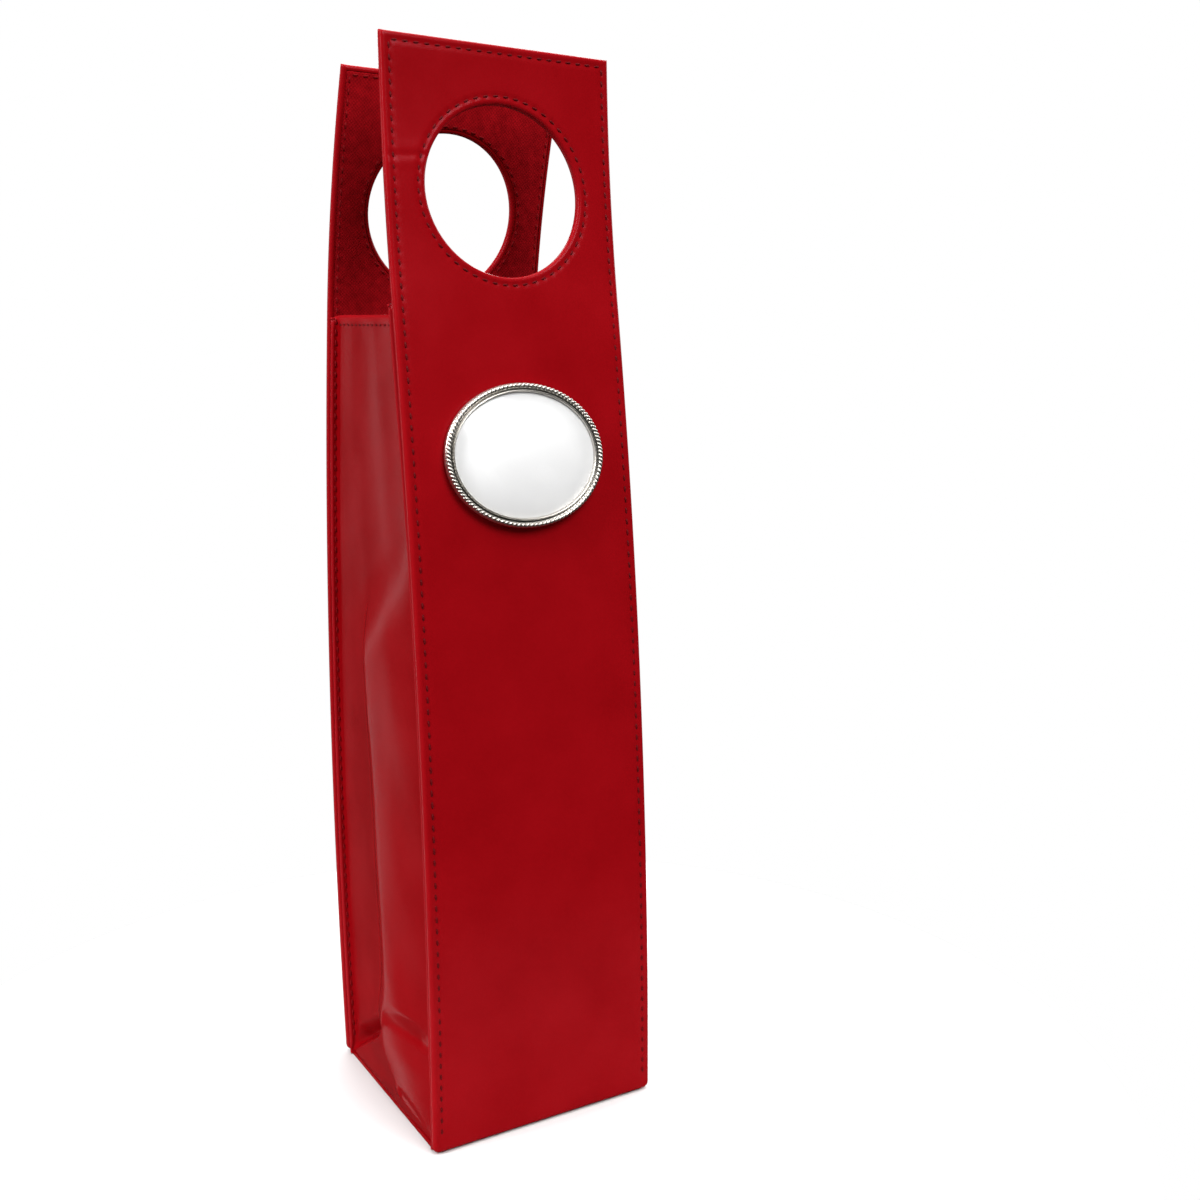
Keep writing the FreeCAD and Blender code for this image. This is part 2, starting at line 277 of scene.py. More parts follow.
@dataclass(frozen=True)
class Leatherette(Finish):
    """Red leatherette with a fine pebbled grain, painted paler and pinker where it bends over an edge as a
    painted sheen.
    """

    name: str = "red_leatherette"
    dark: Point = (0.235, 0.0012, 0.0030)
    light: Point = (0.300, 0.0022, 0.0050)
    # Painted sheen: the paler, pinker colour laid on the rounded edges.
    sheen_pink: Point = (0.430, 0.0120, 0.0180)
    pebble: float = 0.8 * MM
    pebble_depth: float = 0.025 * MM
    cloud: float = 26.0 * MM
    satin: tuple[float, float] = (0.18, 0.25)

    def draw(self, sketch: NodeSketch) -> Material:
        """Draws the leatherette.

        Args:
            sketch: the empty material.

        Returns:
            The finished material.
        """
        place = sketch.object_place()
        cells = {"Vector": place, "Scale": 1.0 / self.pebble, "Smoothness": 0.6}
        pebbles = sketch.add("TexVoronoi", cells, feature="SMOOTH_F1").outputs["Distance"]
        fine = sketch.noise(place, self.pebble / 3.0)
        clouds = sketch.noise(place, self.cloud)
        grain = sketch.sum([(pebbles, 0.7), (fine, 0.4)])
        mottled = sketch.span(sketch.sum([(clouds, 0.8), (grain, 0.3)]), 0.35, 0.85, 0.0, 1.0)
        # The painted edge sheen, read from each piece's per-point attribute.
        edge_sheen = sketch.add("Attribute", attribute_name="edge_sheen").outputs["Fac"]
        red = sketch.tint(mottled, self.dark, self.light)
        sheen_pink = sketch.tint(edge_sheen, red, self.sheen_pink)
        rough = sketch.span(clouds, 0.3, 0.7, *self.satin)
        normal = sketch.bump(grain, self.pebble_depth, 0.7)
        return sketch.finish(Base_Color=sheen_pink, Roughness=rough, Normal=normal,
                             Specular_IOR_Level=0.06, Specular_Tint=(1.0, 0.70, 0.85, 1.0))


@dataclass(frozen=True)
class LiningCloth(Finish):
    """Dark red lining: a matt pressed cloth with short fibres and a blotchy nap."""

    name: str = "dark_red_lining"
    dark: Point = (0.220, 0.0014, 0.0040)
    light: Point = (0.460, 0.0052, 0.0105)
    thread: float = 0.9 * MM
    blotch: float = 3.2 * MM
    nap: float = 0.12 * MM

    def draw(self, sketch: NodeSketch) -> Material:
        """Draws the lining.

        Args:
            sketch: the empty material.

        Returns:
            The finished material.
        """
        place = sketch.object_place()
        turned = sketch.add("Mapping", {"Vector": place, "Rotation": (0.0, math.radians(45.0), 0.0)})
        pitch = 1.0 / self.thread
        weave = []
        for way, share in (("X", 0.32), ("Z", 0.30)):
            bands = {"Vector": turned.outputs[0], "Scale": pitch * share, "Distortion": 2.5, "Detail": 1.0}
            weave.append(sketch.add("TexWave", bands, bands_direction=way).outputs["Fac"])
        fibres = sketch.noise(place, self.thread / 2.0, 4.0)
        blotches = sketch.noise(place, self.blotch, 2.0)
        nap = sketch.sum([(weave[0], 0.28), (weave[1], 0.28), (fibres, 0.5)])
        shade = sketch.span(sketch.sum([(nap, 0.55), (blotches, 0.7)]), 0.40, 0.95, 0.0, 1.0)
        colour = sketch.tint(shade, self.dark, self.light)
        normal = sketch.bump(nap, self.nap)
        return sketch.finish(Base_Color=colour, Roughness=0.88, Normal=normal, Specular_IOR_Level=0.05)


@dataclass(frozen=True)
class SewingThread(Finish):
    """Twisted polyester thread, a shade darker than the cover."""

    name: str = "red_thread"
    dark: Point = (0.075, 0.0009, 0.0022)
    light: Point = (0.160, 0.0022, 0.0045)
    ply: float = 0.45 * MM

    def draw(self, sketch: NodeSketch) -> Material:
        """Draws the thread.

        Args:
            sketch: the empty material.

        Returns:
            The finished material.
        """
        place = sketch.object_place()
        twist = sketch.add("TexWave", {"Vector": place, "Scale": 0.32 / self.ply, "Distortion": 1.5},
                           bands_direction="DIAGONAL").outputs["Fac"]
        fuzz = sketch.noise(place, self.ply / 2.0)
        strand = sketch.sum([(twist, 0.6), (fuzz, 0.4)])
        colour = sketch.tint(strand, self.dark, self.light)
        return sketch.finish(Base_Color=colour, Roughness=0.55, Normal=sketch.bump(strand, 0.08 * MM),
                             Specular_IOR_Level=0.08)


@dataclass(frozen=True)
class CastMetal(Finish):
    """Plated casting with small dents, with painted shade in the bezel's groove."""

    name: str = "nickel_casting"
    dark: Point = (0.10, 0.095, 0.085)
    light: Point = (0.66, 0.63, 0.58)
    dent: float = 0.5 * MM

    def draw(self, sketch: NodeSketch) -> Material:
        """Draws the metal.

        Args:
            sketch: the empty material.

        Returns:
            The finished material.
        """
        place = sketch.object_place()
        dents = sketch.noise(place, self.dent)
        stain = sketch.noise(place, 8.0 * self.dent, 2.0)
        # Painted shade: points marked in the groove take the dark metal colour.
        groove_shade = sketch.add("Attribute", attribute_name="groove_shade").outputs["Fac"]
        shine = sketch.sum([(groove_shade, -1.0), (stain, 0.35), (dents, 0.15)])
        bright = sketch.span(shine, -0.75, 0.25, 0.0, 1.0)
        colour = sketch.tint(bright, self.dark, self.light)
        rough = sketch.span(dents, 0.3, 0.7, 0.24, 0.40)
        return sketch.finish(Base_Color=colour, Metallic=1.0, Roughness=rough,
                             Normal=sketch.bump(dents, 0.05 * MM, 0.6))


@dataclass(frozen=True)
class PlainCoat(Finish):
    """A smooth coat with faint clouds: enamel, foam or board, by its colours, grain and gloss."""

    dark: Point
    light: Point
    grain: float
    depth: float
    roughness: float
    gloss: float = 0.0

    def draw(self, sketch: NodeSketch) -> Material:
        """Draws the coat.

        Args:
            sketch: the empty material.

        Returns:
            The finished material.
        """
        place = sketch.object_place()
        grain = sketch.noise(place, self.grain, 4.0)
        clouds = sketch.noise(place, 12.0 * self.grain, 2.0)
        share = sketch.span(sketch.sum([(grain, 0.5), (clouds, 0.5)]), 0.35, 0.65, 0.0, 1.0)
        colour = sketch.tint(share, self.dark, self.light)
        return sketch.finish(Base_Color=colour, Roughness=self.roughness, Coat_Weight=self.gloss,
                             Coat_Roughness=0.04, Normal=sketch.bump(grain, self.depth))


@dataclass(frozen=True)
class ClearResin(Finish):
    """Water-clear resin of the dome, with faint ripples from pouring."""

    name: str = "clear_resin"
    tint: Point = (0.97, 0.97, 0.97)
    ripple: float = 9.0 * MM
    body: float = 0.08

    def draw(self, sketch: NodeSketch) -> Material:
        """Draws the resin.

        Args:
            sketch: the empty material.

        Returns:
            The finished material.
        """
        ripples = sketch.noise(sketch.object_place(), self.ripple, 1.0)
        rough = sketch.span(ripples, 0.3, 0.7, 0.02, 0.05)
        return sketch.finish(Base_Color=(*self.tint, 1.0), Roughness=rough, Alpha=self.body, IOR=1.47,
                             Normal=sketch.bump(ripples, 0.03 * MM))


WHITE_ENAMEL = PlainCoat("white_enamel", (0.93, 0.93, 0.93), (0.96, 0.96, 0.96),
                         1.5 * MM, 0.004 * MM, 0.25, 0.3)
FOAM = PlainCoat("white_foam", (0.62, 0.61, 0.57), (0.78, 0.77, 0.73), 0.6 * MM, 0.10 * MM, 0.95)
GREYBOARD = PlainCoat("greyboard", (0.27, 0.25, 0.22), (0.42, 0.39, 0.35), 0.5 * MM, 0.06 * MM, 0.95)
COVER = Leatherette()
LINING = LiningCloth()
THREAD = SewingThread()
LINING_THREAD = SewingThread("lining_thread", (0.150, 0.0012, 0.0030), (0.270, 0.0030, 0.0060))
METAL = CastMetal()
RESIN = ClearResin()


def make_piece(mesh_data: BMesh, name: str, finish: Finish, slot: Slot) -> Object:
    """Turns a bmesh into a smooth-shaded piece at the origin.

    Args:
        mesh_data: the finished mesh, freed afterwards.
        name: the piece's name.
        finish: what its surface is made of.
        slot: the record's slot for that finish; not used.

    Returns:
        The new object.
    """
    for edge in mesh_data.edges:
        edge.smooth = not edge.is_boundary
    mesh = bpy.data.meshes.new(name)
    mesh_data.to_mesh(mesh)
    mesh_data.free()
    mesh.shade_smooth()
    mesh.materials.append(finish.material())
    piece = bpy.data.objects.new(name, mesh)
    bpy.context.scene.collection.objects.link(piece)
    LOG.info("%s: %d faces", name, len(mesh.polygons))
    return piece


def thicken(piece: Object, thickness: float) -> None:
    """Gives a sheet its thickness behind its faces, with a live modifier.

    Args:
        piece: the sheet.
        thickness: how thick it becomes.
    """
    wall = piece.modifiers.new("thickness", "SOLIDIFY")
    wall.thickness = thickness
    wall.offset = -1.0
    wall.use_even_offset = True


class Stamp:
    """A small round shape that is pressed many times into one mesh."""

    def __init__(self, sides: int, rings: int) -> None:
        """Makes the unit shape.

        Args:
            sides: its faces round the pole.
            rings: its faces from pole to pole.
        """
        bm = bmesh.new()
        bmesh.ops.create_uvsphere(bm, u_segments=sides, v_segments=rings, radius=1.0)
        self.mesh = bpy.data.meshes.new("stamp")
        bm.to_mesh(self.mesh)
        bm.free()
        self.unit = [v.co.copy() for v in self.mesh.vertices]

    def press(self, bm: BMesh, move: Callable[[Vector], Iterable[float]]) -> None:
        """Adds one moved copy of the shape.

        Args:
            bm: the mesh that takes it.
            move: where each point of the unit shape goes.
        """
        self.mesh.vertices.foreach_set("co", [c for point in self.unit for c in move(point)])
        bm.from_mesh(self.mesh)


def extrude(bm: BMesh, rim: list[BMEdge]) -> tuple[list[BMEdge], set[BMVert]]:
    """Extrudes open edges, and leaves the new ones where the old ones are.

    Args:
        bm: the mesh.
        rim: its open edges.

    Returns:
        The new open edges and their points.
    """
    new = bmesh.ops.extrude_edge_only(bm, edges=rim)["geom"]
    edges = [e for e in new if isinstance(e, BMEdge)]
    return edges, {v for e in edges for v in e.verts}


def grid_points(bm: BMesh, columns: int, rows: int) -> Iterable[tuple[BMVert, int, int]]:
    """Makes a grid and gives its points, which the caller moves.

    Args:
        bm: the empty mesh that takes it.
        columns: its faces across.
        rows: its faces up.

    Yields:
        Each point with its column and row.
    """
    bmesh.ops.create_grid(bm, x_segments=columns, y_segments=rows, size=0.5)
    for vertex in bm.verts:
        yield vertex, round((vertex.co.x + 0.5) * columns), round((vertex.co.y + 0.5) * rows)


def dress_board(node: str) -> None:
    """Gives a packed board its greyboard finish.

    Args:
        node: the board's node.
    """
    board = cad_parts[node]
    board.data.materials.clear()
    board.data.materials.append(GREYBOARD.material())


def bump_at(distance: float, reach: float) -> float:
    """A smooth hump: 1 at no distance, 0 past its reach."""
    share = min(1.0, abs(distance) / reach)
    return (1.0 - share * share) ** 2


@dataclass(frozen=True)
class PanelCurve:
    """A panel's outer face seen from the side: two tangent arcs, measured along the face from its foot."""

    inward: int
    foot_y: float
    foot_z: float
    seam_length: float
    handle_length: float
    foot_lean: float
    seam_lean: float
    top_lean: float
    lowest: float = -10.0 * MM
    halvings: int = 40

    def arc(self, run: float, start: float, end: float, length: float) -> tuple[float, float]:
        """Walks along one arc.

        Args:
            run: how far along the arc, straight on past either end.
            start: the lean at the arc's start, in degrees, positive into the carrier.
            end: the lean at its end.
            length: the arc's length.

        Returns:
            The steps into the carrier and up.
        """
        held = min(max(run, 0.0), length)
        first = math.radians(start)
        turn = math.radians(end - start)
        lean = first + turn * held / length
        radius = length / turn
        rest = run - held
        into = radius * (math.cos(first) - math.cos(lean)) + rest * math.sin(lean)
        up = radius * (math.sin(lean) - math.sin(first)) + rest * math.cos(lean)
        return into, up

    def lean(self, run: float) -> float:
        """The face's lean at a run from the foot, in radians, positive into the carrier."""
        if run <= self.seam_length:
            share = max(run, 0.0) / self.seam_length
            return math.radians(self.foot_lean + (self.seam_lean - self.foot_lean) * share)
        share = min(1.0, (run - self.seam_length) / self.handle_length)
        return math.radians(self.seam_lean + (self.top_lean - self.seam_lean) * share)

    def at(self, x: float, run: float, depth: float) -> Point:
        """Bends a flat point onto the panel.

        Args:
            x: the place across the panel.
            run: the length along the outer face from the foot.
            depth: the distance behind the outer face.

        Returns:
            The point in the carrier's frame.
        """
        lower = min(run, self.seam_length)
        into, up = self.arc(lower, self.foot_lean, self.seam_lean, self.seam_length)
        if run > self.seam_length:
            more = self.arc(run - self.seam_length, self.seam_lean, self.top_lean, self.handle_length)
            into += more[0]
            up += more[1]
        lean = self.lean(run)
        into += depth * math.cos(lean)
        up -= depth * math.sin(lean)
        return x, self.foot_y + self.inward * into, self.foot_z + up

    @functools.cache
    def run_at_height(self, height: float) -> float:
        """The length along the outer face that reaches a height, found by halving."""
        low, high = self.lowest, self.seam_length + self.handle_length
        for _ in range(self.halvings):
            middle = (low + high) / 2.0
            if self.at(0.0, middle, 0.0)[2] < height:
                low = middle
            else:
                high = middle
        return low

    @functools.cache
    def y_at(self, height: float, depth: float) -> float:
        """The y of the surface at a depth behind the outer face, beside a height on that face."""
        return self.at(0.0, self.run_at_height(height), depth)[1]


PANEL_FOOT_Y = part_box("base_skin")[1].y
PANEL_FOOT_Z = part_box("front_panel_skin")[0].z
HALF_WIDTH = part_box("front_panel_skin")[1].x
SEAM_LENGTH = 294.5 * MM
HANDLE_LENGTH = 89.6 * MM
TOP_RUN = SEAM_LENGTH + HANDLE_LENGTH
HOLE_RADIUS = 30.0 * MM
HOLE_RUN = TOP_RUN - 20.5 * MM - HOLE_RADIUS
PANEL_THICKNESS = 3.5 * MM
SKIN = 1.0 * MM
STITCH_PITCH = 4.0 * MM
EDGE_STITCH = 3.0 * MM
FLANGE_STITCH = 2.1 * MM
HOLE_STITCH = 2.9 * MM
GUSSET_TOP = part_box("left_gusset")[1].z
CURVES = {
    Side.FRONT: PanelCurve(1, -PANEL_FOOT_Y, PANEL_FOOT_Z, SEAM_LENGTH, HANDLE_LENGTH, -1.0, 7.8, 0.4),
    Side.BACK: PanelCurve(-1, PANEL_FOOT_Y, PANEL_FOOT_Z, SEAM_LENGTH, HANDLE_LENGTH, -6.0, 7.2, 21.6),
}


@dataclass
class HoledStrip:
    """A flat strip with a round hole near its top, laid out as (x, run, depth) before it is bent."""

    half_width: float
    foot: float
    top: float
    hole_radius: float
    edge: Section
    hole_edge: Section
    columns: int = 52
    row: float = 1.0 * MM
    rings: int = 5

    def rectangle(self, inset: float, foot: float) -> list[tuple[float, float]]:
        """Points round a rectangle, from the middle of its top to the left and on round.

        Args:
            inset: how far inside the strip's edge it lies.
            foot: its lower end.

        Returns:
            The points, as many as the hole's ring has.
        """
        half = self.half_width - inset
        top = self.top - inset
        rows = self.square_rows()
        across = [half * (2.0 * i / self.columns - 1.0) for i in range(self.columns)]
        up = [foot + (top - foot) * i / rows for i in range(rows)]
        upper = [(-x, top) for x in across]
        left = [(-half, foot + top - run) for run in up]
        lower = [(x, foot) for x in across]
        right = [(half, run) for run in up]
        start = self.columns // 2
        return upper[start:] + left + lower + right + upper[:start]

    def square_rows(self) -> int:
        """How many rows stand beside the hole."""
        return round(2.0 * (self.top - HOLE_RUN) / self.row)

    def lay_out(self) -> BMesh:
        """Makes the flat strip: rings round the hole, rows below it, then both edges turned.

        Returns:
            The strip, with v.co as (x, run, depth).
        """
        bm = bmesh.new()
        inset = self.edge[0][0]
        square_foot = 2.0 * HOLE_RUN - self.top
        outline = self.rectangle(inset, square_foot)
        centre = Vector((0.0, HOLE_RUN))
        around = Matrix.Translation(centre.to_3d())
        radius = self.hole_radius + self.hole_edge[0][0]
        for size in (radius, 2.0 * radius):
            ring = bmesh.ops.create_circle(bm, segments=len(outline), radius=size, matrix=around)["verts"]
        for vertex, (x, run) in zip(ring, outline):
            vertex.co = (x, run, 0.0)
        bridge = bmesh.ops.bridge_loops(bm, edges=bm.edges[:])
        spokes = [e for e in bridge["edges"] if e.is_valid]
        bmesh.ops.subdivide_edges(bm, edges=spokes, cuts=self.rings, use_grid_fill=True)
        self.drop_rows(bm, square_foot)
        rims = [e for e in bm.edges if e.is_boundary]
        reach = radius + self.row / 4.0
        inner = [e for e in rims if all((v.co.xy - centre).length < reach for v in e.verts)]
        held = set(inner)
        outer = [e for e in rims if e not in held]
        self.turn_hole(bm, inner)
        self.turn_edge(bm, outer)
        bmesh.ops.recalc_face_normals(bm, faces=bm.faces[:])
        return bm

    def drop_rows(self, bm: BMesh, square_foot: float) -> None:
        """Extrudes the lower edge of the square part down to the foot.

        Args:
            bm: the strip so far.
            square_foot: where the square part ends.
        """
        open_edges = [e for e in bm.edges if e.is_boundary]
        low = [e for e in open_edges if all(abs(v.co.y - square_foot) < TOUCH for v in e.verts)]
        _, dropped = extrude(bm, low)
        foot = self.foot + self.edge[0][0]
        for vertex in dropped:
            vertex.co.y = foot
        sides = [e for v in dropped for e in v.link_edges if e.other_vert(v) not in dropped]
        cuts = round((square_foot - foot) / self.row) - 1
        bmesh.ops.subdivide_edges(bm, edges=sides, cuts=cuts, use_grid_fill=True)

    def turn_hole(self, bm: BMesh, rim: list[BMEdge]) -> None:
        """Extrudes the hole's rim through its section.

        Args:
            bm: the strip so far.
            rim: the hole's open edges.
        """
        for offset, depth in self.hole_edge[1:]:
            rim, turned = extrude(bm, rim)
            for vertex in turned:
                spoke = Vector((vertex.co.x, vertex.co.y - HOLE_RUN))
                spoke = spoke.normalized() * (self.hole_radius + offset)
                vertex.co = (spoke.x, spoke.y + HOLE_RUN, depth)

    def turn_edge(self, bm: BMesh, rim: list[BMEdge]) -> None:
        """Extrudes the outer edge through its section.

        Args:
            bm: the strip so far.
            rim: the outer open edges.
        """
        middle = (self.top + self.foot) / 2.0
        tall = (self.top - self.foot) / 2.0
        last = self.edge[0][0]
        for offset, depth in self.edge[1:]:
            rim, turned = extrude(bm, rim)
            wide = (self.half_width - offset) / (self.half_width - last)
            high = (tall - offset) / (tall - last)
            for vertex in turned:
                vertex.co = (vertex.co.x * wide, middle + (vertex.co.y - middle) * high, depth)
            last = offset


@dataclass(frozen=True)
class Seam:
    """One row of stitches on a panel, set in from the edge that it follows."""

    inset: float

    @property
    def length(self) -> float:
        """The row's length."""
        raise NotImplementedError

    @property
    def pitch(self) -> float:
        """The stitch pitch that divides the row evenly."""
        return self.length / round(self.length / STITCH_PITCH)

    def spot(self, along: float) -> tuple[float, float, float]:
        """The x, run and heading of the row at a length along it."""
        raise NotImplementedError

    def near(self, x: float, run: float) -> tuple[float, float]:
        """The distance from the row and the length along it at a point of the panel."""
        raise NotImplementedError

    def spots(self) -> list[tuple[float, float, float]]:
        """The x, run and heading of each stitch."""
        return [self.spot((i + 0.5) * self.pitch) for i in range(round(self.length / self.pitch))]


@dataclass(frozen=True)
class SideSeam(Seam):
    """The row up one side of a panel."""

    sign: int
    start: float = 5.0 * MM

    @property
    def length(self) -> float:
        """From just above the foot to the top row."""
        return TOP_RUN - self.inset - self.start

    def spot(self, along: float) -> tuple[float, float, float]:
        """A stitch that points up the panel."""
        return self.sign * (HALF_WIDTH - self.inset), self.start + along, math.pi / 2.0

    def near(self, x: float, run: float) -> tuple[float, float]:
        """The distance across, held past the row's ends."""
        past = max(0.0, self.start - run, run - self.start - self.length)
        return math.hypot(x - self.sign * (HALF_WIDTH - self.inset), past), run - self.start


@dataclass(frozen=True)
class TopSeam(Seam):
    """The row along a panel's upper edge."""

    @property
    def length(self) -> float:
        """From one side row to the other."""
        return 2.0 * (HALF_WIDTH - self.inset)

    def spot(self, along: float) -> tuple[float, float, float]:
        """A stitch that points across the panel."""
        return along - self.length / 2.0, TOP_RUN - self.inset, 0.0

    def near(self, x: float, run: float) -> tuple[float, float]:
        """The distance down, held past the row's ends."""
        past = max(0.0, abs(x) - self.length / 2.0)
        return math.hypot(run - TOP_RUN + self.inset, past), x + self.length / 2.0


@dataclass(frozen=True)
class HoleSeam(Seam):
    """The ring of stitches round a hand hole."""

    @property
    def length(self) -> float:
        """The ring's way round."""
        return 2.0 * math.pi * (HOLE_RADIUS + self.inset)

    def spot(self, along: float) -> tuple[float, float, float]:
        """A stitch along the ring."""
        radius = HOLE_RADIUS + self.inset
        angle = along / radius
        return radius * math.cos(angle), HOLE_RUN + radius * math.sin(angle), angle + math.pi / 2.0

    def near(self, x: float, run: float) -> tuple[float, float]:
        """The distance from the ring and the way round to that angle."""
        radius = HOLE_RADIUS + self.inset
        angle = math.atan2(run - HOLE_RUN, x) % (2.0 * math.pi)
        return math.hypot(x, run - HOLE_RUN) - radius, angle * radius


SEAMS: list[Seam] = [SideSeam(EDGE_STITCH, -1), SideSeam(EDGE_STITCH, 1),
                     TopSeam(EDGE_STITCH), HoleSeam(HOLE_STITCH)]


def face_towards(bm: BMesh, direction: Vector) -> None:
    """Turns a sheet's faces so that most of them look along a direction.

    Args:
        bm: the sheet.
        direction: where its visible side looks.
    """
    bmesh.ops.recalc_face_normals(bm, faces=bm.faces[:])
    bm.normal_update()
    total = sum((f.normal * f.calc_area() for f in bm.faces), Vector())
    if total.dot(direction) < 0.0:
        bmesh.ops.reverse_faces(bm, faces=bm.faces[:])


@dataclass(frozen=True)
class Wrinkle:
    """The wrinkle that carrying has left between the hole and the panel's left edge."""

    end: float = -0.9 * HOLE_RADIUS
    rise: float = 9.0 * MM
    slope: float = 0.10
    wander: float = 1.2 * MM
    wander_size: float = 6.0 * MM
    depth: float = 0.16 * MM
    reach: float = 1.5 * MM
    lip: float = 0.07 * MM
    lip_place: float = 2.6 * MM
    lip_reach: float = 3.0 * MM

    def pressed(self, x: float, run: float) -> float:
        """How deep the wrinkle is at a point of the panel.

        Args:
            x: the place across the panel.
            run: the length from the foot.

        Returns:
            The depth, negative on the two lips beside the wrinkle.
        """
        if x > self.end:
            return 0.0
        wander = self.wander * noise.noise(Vector((x, 0.0, 0.0)) / self.wander_size)
        off = run - HOLE_RUN - self.rise - self.slope * (x + HALF_WIDTH) - wander
        lips = sum(bump_at(off + side * self.lip_place, self.lip_reach) for side in (-1.0, 1.0))
        return self.depth * bump_at(off, self.reach) - self.lip * lips


@dataclass
class PanelCover:
    """One panel with its handle: the turned leatherette skin, the lining and the stitches through both."""

    side: Side
    rounding: float = 1.3 * MM
    turn_angles: tuple[float, ...] = (0.0, 25.0, 50.0, 75.0, 90.0)
    lip: float = 1.6 * MM
    channel: float = 0.55 * MM
    channel_steps: tuple[int, ...] = (4, 2, 1, 0, -1, -2)
    channel_reach: float = 1.32 * MM
    groove: float = 0.20 * MM
    pucker: float = 0.45
    wrinkle: Wrinkle = Wrinkle()
    wave: float = 0.16 * MM
    wave_size: float = 45.0 * MM
    wave_seed: float = 0.3
    # Painted sheen on the turned edges: how much paler they are painted, and how far it reaches.
    painted_edge_sheen: float = 0.45
    sheen_reach: float = PANEL_THICKNESS / 1.6
    under: float = 0.8 * MM
    foot_round: float = 2.2 * MM
    lining: float = 0.8 * MM
    lining_foot: float = 4.0 * MM
    lining_gap: float = 0.1 * MM
    lining_edge: Stations = ((3.0 * MM, 0.0), (1.6 * MM, 0.0), (0.7 * MM, 0.0), (0.2 * MM, 0.1 * MM),
                             (0.0, 0.4 * MM))
    nap: float = 0.06 * MM
    nap_size: float = 4.0 * MM
    stitch_clear: float = 0.1 * MM
    bend: float = 6.0 * MM

    @property
    def curve(self) -> PanelCurve:
        """The panel's side view."""
        return CURVES[self.side]

    @property
    def out(self) -> Vector:
        """The direction out of the carrier."""
        return Vector((0.0, -self.side.value, 0.0))

    @property
    def boards(self) -> list[str]:
        """The boards in the panel and in its handle."""
        return [f"{self.side.word}_{part}_board" for part in ("panel", "handle")]

    def section(self, stitch: float) -> Section:
        """The turned edge from the face round to the inside.

        Args:
            stitch: how far the stitches lie from the edge.

        Returns:
            Pairs of distance from the edge and depth.
        """
        arc = [math.radians(a) for a in self.turn_angles]
        face = [(stitch + k * self.channel, 0.0) for k in self.channel_steps]
        outer = [(self.rounding * (1.0 - math.sin(a)), self.rounding * (1.0 - math.cos(a))) for a in arc]
        inner = [(self.rounding * (1.0 - math.cos(a)),
                  PANEL_THICKNESS - self.rounding * (1.0 - math.sin(a))) for a in arc]
        return [p for p in face if p[0] > self.rounding] + outer + inner + [(self.lip, PANEL_THICKNESS)]

    def relief(self, x: float, run: float) -> float:
        """How far the outer face is pressed in at a point, negative where it stands out.

        Args:
            x: the place across the panel.
            run: the length from the foot.

        Returns:
            The depth of seam channels, puckers, creases and slow waves together.
        """
        deepest = 0.0
        for seam in SEAMS:
            distance, along = seam.near(x, run)
            if abs(distance) < self.channel_reach:
                pull = 1.0 - self.pucker * math.cos(2.0 * math.pi * along / seam.pitch)
                deepest = max(deepest, self.groove * pull * bump_at(distance, self.channel_reach))
        slow = noise.noise(Vector((x, run, self.wave_seed * self.side.value)) / self.wave_size)
        return deepest + self.wave * slow + self.wrinkle.pressed(x, run)

    def rounded(self, x: float, run: float) -> tuple[float, float]:
        """Draws a flat point in where the panel's two lower corners are rounded.

        Args:
            x: the place across the square-cornered panel.
            run: the length from the foot.

        Returns:
            The place across and the length once the corner is round.
        """
        centre = self.foot_round - self.under
        across = abs(x) - HALF_WIDTH + self.foot_round
        down = centre - run
        if across <= 0.0 or down <= 0.0:
            return x, run
        draw = max(across, down) / math.hypot(across, down)
        return math.copysign(HALF_WIDTH - self.foot_round + across * draw, x), centre - down * draw

    def bend_mesh(self, bm: BMesh, depth_of: Callable[[Vector], float]) -> None:
        """Bends a flat mesh onto the panel's curve.

        Args:
            bm: the mesh, with v.co as (x, run, depth).
            depth_of: gives a flat point's depth behind the outer face.
        """
        for vertex in bm.verts:
            vertex.co = self.curve.at(vertex.co.x, vertex.co.y, depth_of(vertex.co))

    def join(self, piece: Object) -> None:
        """Bakes a piece's placement into its mesh; the piece is not tied to the panel or the handle."""
        start = self.curve.at(0.0, SEAM_LENGTH - self.bend, 0.0)
        end = self.curve.at(0.0, SEAM_LENGTH + self.bend, 0.0)
        self.side.panel
        self.side.handle
        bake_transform(piece)

    def build_skin(self) -> None:
        """Makes the leatherette skin, turned over every edge and round the hole."""
        strip = HoledStrip(HALF_WIDTH, -self.under, TOP_RUN, HOLE_RADIUS,
                           self.section(EDGE_STITCH), self.section(HOLE_STITCH))
        bm = strip.lay_out()
